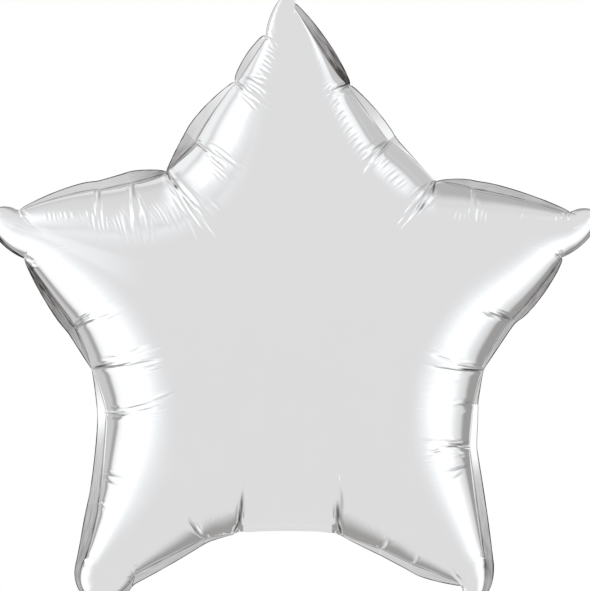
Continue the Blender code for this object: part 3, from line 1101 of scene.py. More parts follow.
@dataclass
class Panel:
    """One star of film, dished by the gas, with its pleats and wrinkles.

    Attributes:
        side: Front or back.
        plan: The star's plan.
        height: The smooth film's height over the plan's grid.
        creasing: Its creases.
        seam_offset: Distance of the film's edge from the seam plane.
        rim: Distance from the weld over which the creases come in.
        lip_half: Distances from the middle between which the lip over the root fades out.
        lip_top: Height under which the weld line has the lip.
        lip: How far the lip reaches below the weld line and in front of it.
    """

    side: Side
    plan: StarPlan
    height: np.ndarray
    creasing: Creasing
    seam_offset: float = 0.15 * MM
    rim: float = 1.0 * MM
    lip_half: Pair = (28.0 * MM, 46.0 * MM)
    lip_top: float = -130.0 * MM
    lip: Pair = (2.8 * MM, 0.35 * MM)

    def build(self, name: str) -> bpy.types.Object:
        """Builds the panel's mesh: the smooth film, moved along its normal by the creases.

        Args:
            name: The piece's name.

        Returns:
            The panel.
        """
        place = self.plan.grid()
        height = self.seam_offset + self.height
        points = np.stack([place[:, :, 0], self.side.value * height, place[:, :, 1]], axis=2)
        normal = grid_normals(points) * -self.side.value
        inside = np.linalg.norm(place - self.plan.weld, axis=2)
        relief, shadow = np.zeros(inside.shape), np.zeros(inside.shape)
        creases = self.creasing.creases(self.plan)
        for crease in creases:
            crease.add_to(relief, shadow, place)
        relief *= smooth_step(inside, 0.0, self.rim)
        points += normal * relief[:, :, None]
        if self.side is Side.FRONT:
            self.turn_lip(points)
        log.info("%s: %d creases", name, len(creases))
        film_map = np.stack([np.broadcast_to(self.plan.run, inside.shape), inside], axis=2)
        faces = grid_faces(len(place), len(self.plan.run), True, self.side is Side.BACK)
        crimps = self.creasing.crimps(self.plan, normal)
        # The creases' painted shade goes to the mesh as "shadow".
        return new_piece(name, points, faces, film_map, crimps, np.clip(shadow, 0.0, 1.0))

    def turn_lip(self, points: np.ndarray) -> None:
        """Runs the film's edge at the root down over the weld band, as it isn't welded flat there.

        Args:
            points: The panel's points, whose first row is moved.
        """
        edge = points[0]
        root = (np.abs(edge[:, 0]) < self.lip_half[1]) & (edge[:, 2] < self.lip_top)
        share = 1 - smooth_step(np.abs(edge[root, 0]), *self.lip_half)
        edge[root, 2] -= self.lip[0] * share
        edge[root, 1] -= self.lip[1] * share


# The weld band


@dataclass
class WeldBand:
    """The flat band of two welded plies that stands out all round the star.

    Attributes:
        plan: The star's plan.
        thickness: Of the two plies together.
        inside: How far the band runs in between the panels.
        rows: Rows of points across the open part.
        edge_line: Width of the painted dark outline at the cut edge.
        edge_shares: Its greatest share of the band's width, and where in it the last inner row lies.
        tilt: Slope away from the front of a lobe whose shade is 0.
        light: Shade over which that slope runs out.
        most_tilt: Greatest share of it.
        sway: Greatest slope that any lobe has by chance.
        pinch: How far a pleat lifts the band out of the seam plane.
        pinch_width: Half width of a pleat along the band.
        pinch_foot: Distance from the weld line over which that lift comes in.
        pinched: Widths of band in mm, under which a pleat pinches fully and over which it doesn't.
        seed: Seed of the lobes' slopes.
        ease_steps: Steps that even out the cut edge.
        eased: Widths of band between which the evening out comes in.
        hold: Distance from a narrow pleat within which the cut edge keeps its place.
        held: Widths of band in mm, under which a pleat counts as narrow and over which it doesn't.
        lobe_share: How much of a lobe's painted shade the whole lobe has.
        drawn: How soon the two painted dark lines come in with a lobe's painted shade.
        edge_shade: Least painted shade of the dark outline at the cut edge, and what a drawn lobe adds to
            it.
        weld_shade: The same for the painted shadow line at the weld.
    """

    plan: StarPlan
    thickness: float = 0.3 * MM
    inside: float = 1.5 * MM
    rows: int = 7
    edge_line: float = 0.9 * MM
    edge_shares: Pair = (0.3, 0.6)
    tilt: float = 0.6
    light: float = 0.25
    most_tilt: float = 1.5
    sway: float = 0.16
    pinch: float = 0.9 * MM
    pinch_width: float = 1.6 * MM
    pinch_foot: float = 3.0 * MM
    pinched: Pair = (3.5, 6.0)
    seed: int = 3
    ease_steps: int = 160
    eased: Pair = (1.2 * MM, 3.0 * MM)
    hold: float = 3.0 * MM
    held: Pair = (3.5, 4.5)
    lobe_share: float = 0.85
    drawn: float = 30.0
    edge_shade: Pair = (0.25, 0.55)
    weld_shade: Pair = (0.10, 0.40)

    def narrowness(self, low: float, high: float) -> np.ndarray:
        """1 for each pleat whose band is narrower than low, 0 where it is wider than high, in mm."""
        return 1 - smooth_step(np.array([pleat.band for pleat in self.plan.pleats]), low, high)

    def outline(self) -> np.ndarray:
        """The band's cut edge: weld - inward band, evened out but for the places near its narrow pleats.

        Each step moves a point towards the middle of its neighbours, p + w ((p1 + p2)/2 - p)/2, with w
        fading to 0 where the band is narrow.

        Returns:
            x, z of each station.
        """
        plan = self.plan
        edge = plan.weld - plan.inward * plan.band[:, None]
        narrow = self.narrowness(*self.held)
        away = smooth_step(np.abs(plan.pleat_gaps()), self.hold, 3 * self.hold)
        near = (away * narrow + 1 - narrow).min(axis=1)
        weight = (near * smooth_step(plan.band, *self.eased))[:, None] / 2
        for _ in range(self.ease_steps):
            edge = edge + weight * ((np.roll(edge, 1, axis=0) + np.roll(edge, -1, axis=0)) / 2 - edge)
        return edge

    def lobe_shade(self) -> np.ndarray:
        """How dark the band's reflection is painted at each station."""
        shades = np.array([pleat.shade for pleat in self.plan.pleats])
        return self.plan.along_lobes(shades[:, 0], shades[:, 1])

    def slope(self, shade: np.ndarray) -> np.ndarray:
        """The band's slope: each lobe sways a little by chance, and the light ones lean back.

        Args:
            shade: How dark the band is at each station.

        Returns:
            The slope at each station.
        """
        rng = np.random.default_rng(self.seed)
        sway = self.plan.along_lobes(*(rng.uniform(-1, 1, (2, len(self.plan.pleats))) * self.sway))
        return self.tilt * np.clip(1 - shade / self.light, 0.0, self.most_tilt) + sway

    def distances(self) -> np.ndarray:
        """Distances outside the weld line, rows by stations, with close rows at the cut edge."""
        band = self.plan.band
        edge = np.minimum(self.edge_line, band * self.edge_shares[0])
        open_part = np.linspace(0.0, 1.0, self.rows)[:, None] * (band - edge)
        ends = np.stack([band - edge * self.edge_shares[1], band])
        return np.concatenate([np.full((1, len(band)), -self.inside), open_part, ends])

    def build(self, name: str) -> bpy.types.Object:
        """Builds the band: y = slope q + pinch, q the distance out from the weld line.

        Args:
            name: The piece's name.

        Returns:
            The band, thickened.
        """
        plan = self.plan
        out = self.distances()
        free = np.maximum(out, 0.0)
        place = plan.weld + (self.outline() - plan.weld) * (free / plan.band)[:, :, None]
        place -= plan.inward * np.minimum(out, 0.0)[:, :, None]
        shade = self.lobe_shade()
        sign = np.where(np.arange(len(plan.pleats)) % 2 == 0, 1.0, -1.0) * self.narrowness(*self.pinched)
        pinch = (np.exp(-((plan.pleat_gaps() / self.pinch_width) ** 2)) * sign).sum(axis=1) * self.pinch
        y = self.slope(shade) * free + pinch * smooth_step(free, 0.0, self.pinch_foot)
        points = np.stack([place[:, :, 0], y, place[:, :, 1]], axis=2)
        film_map = np.stack([np.broadcast_to(plan.run, out.shape), out], axis=2)
        # Painted shade: the lobes' shade, a dark outline at the cut edge and a shadow line at the weld go
        # into "amount".
        drawn = np.clip(np.abs(shade) * self.drawn, 0.0, 1.0)
        line = np.zeros(out.shape)
        line[-2:] = self.edge_shade[0] + self.edge_shade[1] * drawn
        line[1] = self.weld_shade[0] + self.weld_shade[1] * drawn
        amount = np.clip(shade * self.lobe_share + line, 0.0, 1.0)
        faces = grid_faces(*out.shape, True, True)
        return walled(new_piece(name, points, faces, film_map, amount), self.thickness)


# The tail


class TailLayer(Enum):
    """A layer of the tail: its value is the side of the middle it lies on."""

    OUTER = 1
    INNER = -1


@dataclass(frozen=True)
class TailCreases:
    """Soft lengthwise creases of the tail.

    Attributes:
        count: How many there are.
        middle: How far from the tail's middle they may lie at the root, as a share of half its width.
        fan: How far they may run sideways over the tail's length, in the same share.
        width: Least and greatest half width, in the same share.
        first: Where they may start, as a share of the tail's length.
        last: Where they may end, as a share of the tail's length.
        height: Greatest height or depth, in mm.
    """

    count: int = 16
    middle: float = 0.9
    fan: float = 0.2
    width: Pair = (0.02, 0.05)
    first: Pair = (-0.1, 0.5)
    last: Pair = (0.4, 1.2)
    height: float = 0.28

    def heights(self, share: np.ndarray, along: np.ndarray, seed: int) -> np.ndarray:
        """A sum of bells h sin^2(pi t) exp(-(r/w)^2) round straight lines that fan out a little.

        Args:
            share: Places across the tail from -1 to 1, rows by columns.
            along: Distances from the fold as shares of the tail's length, rows by columns.
            seed: Seed of the lines.

        Returns:
            Heights in metres.
        """
        rng = np.random.default_rng(seed)
        total = np.zeros(share.shape)
        for _ in range(self.count):
            centre = rng.uniform(-self.middle, self.middle) + rng.uniform(-self.fan, self.fan) * along
            width = rng.uniform(*self.width)
            first, last = rng.uniform(*self.first), rng.uniform(*self.last)
            fade = np.sin(math.pi * np.clip((along - first) / (last - first), 0.0, 1.0)) ** 2
            bell = np.exp(-(((share - centre) / width) ** 2))
            total += rng.uniform(-self.height, self.height) * MM * fade * bell
        return total


@dataclass
class Tail:
    """The filling tail, folded up behind the back panel at its root.

    Attributes:
        fold: y and z of the fold's axis, which runs along X.
        length: From the fold to the end.
        arc: How far the tail bends before it runs straight.
        root_lean: Its lean from +Z towards +Y at the fold, in degrees.
        end_lean: The same beyond the bend.
        line_steps: Steps in which its middle line is worked out.
        width: Its width.
        root_width: Its width at the fold.
        flare: How far the flare at the root reaches.
        bead: Radius of the fold.
        start: Where the film starts, inside the fold.
        film: Thickness of one ply.
        puff: How far the plies stand apart in the middle.
        flatter: Share of the puff that is lost towards the mouth.
        apart: Half the gap between the plies at their edges.
        ply_grid: Rows and columns of points of a ply.
        creases: The plies' creases.
        weld: Width of the side welds.
        overlap: How far the plies reach into them.
        weld_grid: Rows and columns of points of a side weld.
        waves: Height in mm and length of each wave along a side weld's outer edge.
        weld_shades: How dark a side weld is all over, and what its painted dark outline at the cut edge and
            its painted shadow line at the plies add.
        weld_lines: Where those two lines begin and end, as shares of its width.
        valve_width: Width of the valve's film.
        valve_start: Where the valve's film starts.
        valve_proud: How far it stands out of the mouth.
        valve_film: Its thickness, and the height of its ripples.
        valve_ripple: The ripples' turn from its middle to its side, and their length along it.
        valve_grid: Its rows and columns of points.
        roll_grid: Points along the fold and round it.
        roll_wander: Share by which the fold's radius wanders.
        roll_knots: Places along it where the wander is drawn.
        roll_seed: Seed of the wander.
        roll_ends: How soon its ends are full.
    """

    fold: Pair = (1.8 * MM, -152.1 * MM)
    length: float = 90.0 * MM
    arc: float = 62.0 * MM
    root_lean: float = 95.0
    end_lean: float = 32.0
    line_steps: int = 400
    width: float = 46.0 * MM
    root_width: float = 56.0 * MM
    flare: float = 22.0 * MM
    bead: float = 1.0 * MM
    start: float = 0.9 * MM
    film: float = 0.12 * MM
    puff: float = 0.8 * MM
    flatter: float = 0.5
    apart: float = 0.06 * MM
    ply_grid: tuple[int, int] = (110, 90)
    creases: TailCreases = TailCreases()
    weld: float = 5.0 * MM
    overlap: float = 0.2 * MM
    weld_grid: tuple[int, int] = (140, 9)
    waves: tuple[Pair, Pair] = ((0.35, 4.3 * MM), (0.25, 2.9 * MM))
    weld_shades: tuple[float, float, float] = (0.25, 0.5, 0.15)
    weld_lines: Pair = (0.85, 0.1)
    valve_width: float = 30.0 * MM
    valve_start: float = 38.0 * MM
    valve_proud: float = 4.0 * MM
    valve_film: float = 0.1 * MM
    valve_ripple: Pair = (7.0, 9.0 * MM)
    valve_grid: tuple[int, int] = (60, 40)
    roll_grid: tuple[int, int] = (160, 25)
    roll_wander: float = 0.10
    roll_knots: int = 24
    roll_seed: int = 5
    roll_ends: float = 12.0

    def line(self, run: np.ndarray) -> tuple[np.ndarray, np.ndarray]:
        """The tail's middle line: its lean runs straight from root_lean to end_lean along the arc.

        Args:
            run: Distances from the fold.

        Returns:
            Points y, z and unit normals y, z away from the balloon.
        """
        steps = np.linspace(0.0, self.length + self.valve_proud, self.line_steps)
        bend = np.clip(steps / self.arc, 0.0, 1.0)
        lean = np.radians(self.root_lean + (self.end_lean - self.root_lean) * bend)
        step = steps[1] - steps[0]
        y = self.fold[0] + np.cumsum(np.sin(lean)) * step
        z = self.fold[1] + np.cumsum(np.cos(lean)) * step
        lean = np.interp(run, steps, lean)
        line = np.stack([np.interp(run, steps, y), np.interp(run, steps, z)], axis=-1)
        return line, np.stack([np.cos(lean), -np.sin(lean)], axis=-1)

    def half_width(self, run: np.ndarray) -> np.ndarray:
        """Half the tail's width, flared at its root by (1 - run / flare)^2."""
        flare = np.clip(1 - run / self.flare, 0.0, 1.0) ** 2
        return (self.width + (self.root_width - self.width) * flare) / 2

    def strip(
        self, name: str, run: np.ndarray, x: np.ndarray, lift: np.ndarray, shade: np.ndarray | None = None
    ) -> bpy.types.Object:
        """A strip of film along the tail. All its arrays are rows by columns.

        Args:
            name: The piece's name.
            run: Distances from the fold.
            x: Places across the tail.
            lift: Distances from the middle line along its normal.
            shade: How dark the film is painted.

        Returns:
            The strip.
        """
        line, normal = self.line(run)
        y, z = np.moveaxis(line + normal * lift[:, :, None], 2, 0)
        faces = grid_faces(*x.shape, False, False)
        return new_piece(name, np.stack([x, y, z], axis=2), faces, np.stack([x, run], axis=2), shade)

    def ply(self, layer: TailLayer, seed: int) -> bpy.types.Object:
        """One ply between the side welds, puffed by puff (1 - share^2)^0.5 and flattened towards the mouth.

        Args:
            layer: The outer or the inner one.
            seed: Seed of its creases.

        Returns:
            The ply.
        """
        rows, columns = self.ply_grid
        ends = np.linspace(self.start, self.length, rows)
        run, share = np.meshgrid(ends, np.linspace(-1.0, 1.0, columns), indexing="ij")
        x = share * (self.half_width(run) - self.weld + self.overlap)
        middle = np.clip(1 - share**2, 0.0, 1.0)
        swell = np.sqrt(middle) * self.puff * (1 - self.flatter * smooth_step(run, 0.0, self.length))
        lift = layer.value * (self.film / 2 + self.apart + swell)
        lift += self.creases.heights(share, run / self.length, seed) * middle
        piece = self.strip(f"tail_{layer.name.lower()}_film", run, x, lift)
        if layer is TailLayer.INNER:
            piece.data.flip_normals()
        return walled(piece, self.film)

    def side_weld(self, side: int) -> bpy.types.Object:
        """One side weld, which waves a little along its outer edge.

        Args:
            side: -1 for the left, 1 for the right.

        Returns:
            The weld.
        """
        rows, columns = self.weld_grid
        ends = np.linspace(self.start, self.length, rows)
        run, share = np.meshgrid(ends, np.linspace(0.0, 1.0, columns), indexing="ij")
        x = side * (self.half_width(run) - self.weld + self.weld * share)
        wave = sum(
            height * np.sin(run / length + number * side)
            for number, (height, length) in enumerate(self.waves, start=1)
        )
        # Painted shade: a dark outline at the cut edge and a shadow line beside the plies.
        plain, outer, inner = self.weld_shades
        shade = plain + outer * (share > self.weld_lines[0]) + inner * (share < self.weld_lines[1])
        name = "tail_weld_left_film" if side < 0 else "tail_weld_right_film"
        piece = self.strip(name, run, x, wave * MM * share**2, shade)
        if side < 0:
            piece.data.flip_normals()
        return walled(piece, 2 * self.film)

    def valve(self) -> bpy.types.Object:
        """The valve's clear film, a flat tube that stands out of the mouth."""
        rows, columns = self.valve_grid
        ends = np.linspace(self.valve_start, self.length + self.valve_proud, rows)
        run, share = np.meshgrid(ends, np.linspace(-1.0, 1.0, columns), indexing="ij")
        turn, length = self.valve_ripple
        lift = self.valve_film * np.sin(share * turn + run / length)
        piece = self.strip("valve_clear_film", run, share * self.valve_width / 2, lift)
        return walled(piece, self.valve_film)

    def fold_roll(self) -> bpy.types.Object:
        """The crease at the root: a roll of film whose radius wanders along it, closed at both ends."""
        points, sides = self.roll_grid
        turn, share = np.meshgrid(
            np.linspace(0.0, 2 * math.pi, sides), np.linspace(-1.0, 1.0, points), indexing="ij"
        )
        knots = np.linspace(-1, 1, self.roll_knots)
        drawn = np.random.default_rng(self.roll_seed).uniform(-1, 1, self.roll_knots)
        ends = np.minimum(1.0, np.sqrt(np.clip((1 - share**2) * self.roll_ends, 0.0, 1.0)))
        radius = self.bead * (1 + self.roll_wander * np.interp(share, knots, drawn)) * ends
        x = share * self.root_width / 2
        y = self.fold[0] + radius * np.cos(turn)
        z = self.fold[1] + radius * np.sin(turn)
        film_map = np.stack([x, turn * self.bead], axis=2)
        faces = grid_faces(*x.shape, False, True)
        return new_piece("tail_fold_film", np.stack([x, y, z], axis=2), faces, film_map)


# Nodes of the materials and of the room


@dataclass(frozen=True)
class NodeTree:
    """Adds nodes to the tree of a material or of the world.

    Attributes:
        tree: The tree.
    """

    tree: bpy.types.NodeTree

    def new(self, kind: str) -> bpy.types.Node:
        """A new node of a kind."""
        return self.tree.nodes.new(kind)

    def feed(self, node: bpy.types.Node, inputs: dict[str | int, object]) -> bpy.types.bpy_prop_collection:
        """Feeds a node's inputs.

        Args:
            node: The node.
            inputs: Another node's socket or a value for each input, by its name or number.

        Returns:
            The node's outputs.
        """
        for key, source in inputs.items():
            if isinstance(source, bpy.types.NodeSocket):
                self.tree.links.new(source, node.inputs[key])
            else:
                node.inputs[key].default_value = source
        return node.outputs

    def noise(self, place: bpy.types.NodeSocket, scale: float, detail: float) -> bpy.types.NodeSocket:
        """Soft noise from 0 to 1 at a place."""
        inputs = {"Vector": place, "Scale": scale, "Detail": detail}
        return self.feed(self.new("ShaderNodeTexNoise"), inputs)["Fac"]

    def piece_place(self) -> bpy.types.NodeSocket:
        """The place in the piece's own frame."""
        return self.new("ShaderNodeTexCoord").outputs["Object"]

    def film_place(self, size: Pair) -> bpy.types.NodeSocket:
        """The place on the film, along the weld and square to it, each divided by a size."""
        film_map = self.new("ShaderNodeUVMap")
        film_map.uv_map = "film_map"
        inputs = {"Vector": film_map.outputs["UV"], "Scale": (1 / size[0], 1 / size[1], 1.0)}
        return self.feed(self.new("ShaderNodeMapping"), inputs)["Vector"]

    def attribute(self, name: str) -> bpy.types.NodeSocket:
        """A value that the mesh has at each of its points."""
        attribute = self.new("ShaderNodeAttribute")
        attribute.attribute_name = name
        return attribute.outputs["Fac"]

    def maths(self, operation: str, *sources: object, clamp: bool = False) -> bpy.types.NodeSocket:
        """The result of an operation on sockets or numbers."""
        node = self.new("ShaderNodeMath")
        node.operation = operation
        node.use_clamp = clamp
        return self.feed(node, dict(enumerate(sources)))["Value"]

    def ramp(
        self, value: bpy.types.NodeSocket, bounds: Pair, ends: Pair = (0.0, 1.0), smooth: bool = True
    ) -> bpy.types.NodeSocket:
        """Runs from one end to the other while a value runs from its lower bound to its upper one.

        Args:
            value: The value.
            bounds: Its lower and its upper bound.
            ends: What they become.
            smooth: Whether it starts and stops softly.

        Returns:
            The socket that carries the result.
        """
        node = self.new("ShaderNodeMapRange")
        node.interpolation_type = "SMOOTHSTEP" if smooth else "LINEAR"
        names = ("Value", "From Min", "From Max", "To Min", "To Max")
        return self.feed(node, dict(zip(names, (value, *bounds, *ends))))["Result"]

    def bump(
        self, height: bpy.types.NodeSocket, distance: float, under: bpy.types.NodeSocket | None = None
    ) -> bpy.types.NodeSocket:
        """The surface's normal, turned by the slopes of a height.

        Args:
            height: The height, from 0 to 1.
            distance: How high 1 is.
            under: The normal of the bumps that it lies on, if there are any.

        Returns:
            The socket that carries the normal.
        """
        inputs = {"Strength": 1.0, "Distance": distance, "Height": height}
        if under is not None:
            inputs["Normal"] = under
        return self.feed(self.new("ShaderNodeBump"), inputs)["Normal"]

    def mix(self, share: bpy.types.NodeSocket, first: Colour, second: Colour) -> bpy.types.NodeSocket:
        """A mix of two colours."""
        node = self.new("ShaderNodeMix")
        node.data_type = "RGBA"
        return self.feed(node, {"Factor": share, "A": (*first, 1.0), "B": (*second, 1.0)})["Result"]

    def background(self, colour: object, strength: object) -> bpy.types.NodeSocket:
        """Light from far away, of a colour and a strength."""
        inputs = {"Color": colour, "Strength": strength}
        return self.feed(self.new("ShaderNodeBackground"), inputs)["Background"]


def new_material(name: str, colour: Colour) -> tuple[bpy.types.Material, NodeTree, bpy.types.Node]:
    """A new material of one colour, its tree of nodes and its shader."""
    material = bpy.data.materials.new(name)
    material.use_nodes = True
    shader = material.node_tree.nodes["Principled BSDF"]
    shader.inputs["Base Color"].default_value = (*colour, 1.0)
    return material, NodeTree(material.node_tree), shader


# Finishes


@dataclass(frozen=True)
class FilmFinish:
    """Metallised film: a mirror with soft waves, fine crinkles square to the weld and a little haze.

    Attributes:
        name: The material's name.
        colour: Colour of the reflection.
        haze: Least and greatest roughness.
        wave_size: Size of the soft waves.
        wave_height: Height of the soft waves.
        crinkle: Size of the crinkles along and square to the weld.
        crinkle_height: Height of the crinkles.
        crimp: Size of the crimps along and square to the weld.
        crimp_height: Height of the crimps where the attribute "amount" is 1, or 0 for film without them.
        dark: Painted shade colour, reached where "amount" is 1, or none for film that has no painted shade.
        deep: Painted shade colour at the bottom of a sharp fold, or none for film that has none.
        middling: The noise's middle values, over which haze and painted shade run between their ends.
        ridge: The noise's values over which a crimp rises.
        broken: Shares of the painted shade that the crinkles leave, least and greatest.
    """

    name: str
    colour: Colour = (0.88, 0.88, 0.89)
    haze: Pair = (0.05, 0.11)
    wave_size: float = 26.0 * MM
    wave_height: float = 0.03 * MM
    crinkle: Pair = (2.5 * MM, 16.0 * MM)
    crinkle_height: float = 0.008 * MM
    crimp: Pair = (1.9 * MM, 24.0 * MM)
    crimp_height: float = 0.0
    dark: Colour | None = None
    deep: Colour | None = None
    middling: Pair = (0.3, 0.7)
    ridge: Pair = (0.48, 0.72)
    broken: Pair = (0.6, 1.45)

    def material(self) -> bpy.types.Material:
        """Builds the node material: waves, crinkles on them, and sharp crimps on both."""
        material, tree, shader = new_material(self.name, self.colour)
        wave = tree.noise(tree.piece_place(), 1 / self.wave_size, detail=2.0)
        crinkle = tree.noise(tree.film_place(self.crinkle), 1.0, detail=3.0)
        normal = tree.bump(crinkle, self.crinkle_height, tree.bump(wave, self.wave_height))
        if self.crimp_height:
            ridge = tree.ramp(tree.noise(tree.film_place(self.crimp), 1.0, detail=1.0), self.ridge)
            normal = tree.bump(
                tree.maths("MULTIPLY", ridge, tree.attribute("amount")), self.crimp_height, normal
            )
        haze = tree.ramp(wave, self.middling, self.haze, smooth=False)
        tree.feed(shader, {"Metallic": 1.0, "Normal": normal, "Roughness": haze})
        # Painted shade: the colour darkens towards dark where the mesh's "amount" says so, broken up by the
        # crinkles.
        if self.dark is not None:
            broken = tree.ramp(crinkle, self.middling, self.broken, smooth=False)
            amount = tree.maths("MULTIPLY", tree.attribute("amount"), broken, clamp=True)
            tree.feed(shader, {"Base Color": tree.mix(amount, self.colour, self.dark)})
        # Painted shade: the colour darkens towards deep at the bottom of sharp folds.
        if self.deep is not None:
            shadow = tree.attribute("shadow")
            tree.feed(shader, {"Base Color": tree.mix(shadow, self.colour, self.deep)})
        return material


@dataclass(frozen=True)
class ClearFinish:
    """The valve's thin clear film.

    Attributes:
        name: The material's name.
        tint: Its colour.
        alpha: How much of it is seen.
        haze: Its roughness.
        ripples: How many ripples it has in a metre.
        ripple_height: Their height.
    """

    name: str
    tint: Colour = (0.90, 0.92, 0.93)
    alpha: float = 0.35
    haze: float = 0.12
    ripples: float = 180.0
    ripple_height: float = 0.05 * MM

    def material(self) -> bpy.types.Material:
        """Builds the node material."""
        material, tree, shader = new_material(self.name, self.tint)
        ripple = tree.noise(tree.piece_place(), self.ripples, detail=2.0)
        normal = tree.bump(ripple, self.ripple_height)
        tree.feed(shader, {"Roughness": self.haze, "Alpha": self.alpha, "Normal": normal})
        return material


# The studio


@dataclass(frozen=True)
class SoftLight:
    """A bright part of the room with soft edges, bounded by its azimuth and its depth.

    Each bound fades in from its first number to its second and out from its third to its fourth.

    Attributes:
        name: Which part of the room it is, seen from the balloon's front.
        brightness: What it adds to the room, or takes from it where it is negative, as a black flag does.
        azimuth: Bounds of the angle in the star's plane, in degrees from right through up.
        depth: Bounds towards the camera, which is -1, and away from it, which is 1.
    """

    name: str
    brightness: float
    azimuth: Bounds
    depth: Bounds

    def level(
        self, tree: NodeTree, turn: bpy.types.NodeSocket, depth: bpy.types.NodeSocket
    ) -> bpy.types.NodeSocket:
        """The light's brightness as a product of smooth ramps.

        Args:
            tree: The world's nodes.
            turn: The direction's azimuth in degrees.
            depth: How far the direction points away from the camera, from -1 to 1.

        Returns:
            The socket that carries the brightness.
        """
        middle = (self.azimuth[0] + self.azimuth[3]) / 2
        near = tree.maths("WRAP", turn, middle + 180.0, middle - 180.0)
        ramps = [
            tree.ramp(value, pair, ends)
            for value, bounds in ((near, self.azimuth), (depth, self.depth))
            for pair, ends in ((bounds[:2], (0.0, 1.0)), (bounds[2:], (1.0, 0.0)))
        ]
        total = ramps[0]
        for ramp in ramps[1:]:
            total = tree.maths("MULTIPLY", total, ramp)
        total = tree.maths("MULTIPLY", total, self.brightness)
        total.node.label = self.name
        return total


LIGHTS = (
    SoftLight("left wall", 0.50, (116, 133, 150, 165), (-0.75, -0.40, 0.08, 0.30)),
    SoftLight("lower left wall", 0.50, (150, 165, 218, 236), (-0.75, -0.40, 0.14, 0.31)),
    SoftLight("upper left flag", -0.22, (120, 128, 143, 150), (-0.64, -0.56, -0.44, -0.30)),
    SoftLight("left end", 0.12, (148, 157, 168, 178), (-0.80, -0.70, -0.66, -0.55)),
    SoftLight("right wall", 0.45, (-50, -38, 14, 30), (-0.70, -0.38, -0.15, 0.12)),
    SoftLight("right edge", 0.32, (-50, -38, 14, 30), (-0.15, 0.12, 0.26, 0.46)),
    SoftLight("upper right", 0.40, (22, 36, 48, 60), (-0.40, -0.12, 0.06, 0.20)),
    SoftLight("ceiling", 0.13, (50, 62, 84, 96), (-0.15, 0.05, 0.12, 0.34)),
    SoftLight("ceiling, left", 0.32, (84, 98, 122, 136), (-0.20, 0.33, 0.42, 0.56)),
    SoftLight("behind, left", 0.27, (150, 165, 218, 236), (0.30, 0.50, 0.80, 0.93)),
    SoftLight("behind, upper left", 0.62, (120, 134, 150, 168), (0.08, 0.45, 0.80, 0.93)),
    SoftLight("behind, upper right", 0.25, (20, 36, 56, 66), (0.10, 0.30, 0.80, 0.93)),
    SoftLight("behind, top", 0.13, (56, 66, 84, 96), (0.12, 0.40, 0.80, 0.93)),
    SoftLight("behind, ceiling", 0.48, (92, 102, 122, 134), (0.44, 0.56, 0.70, 0.84)),
    SoftLight("floor strip", 0.44, (-99.5, -98.0, -86.0, -84.5), (-0.25, 0.42, 0.80, 0.93)),
    SoftLight("back wall", 0.44, (-190, -189, 189, 190), (0.80, 0.93, 1.5, 2.0)),
)


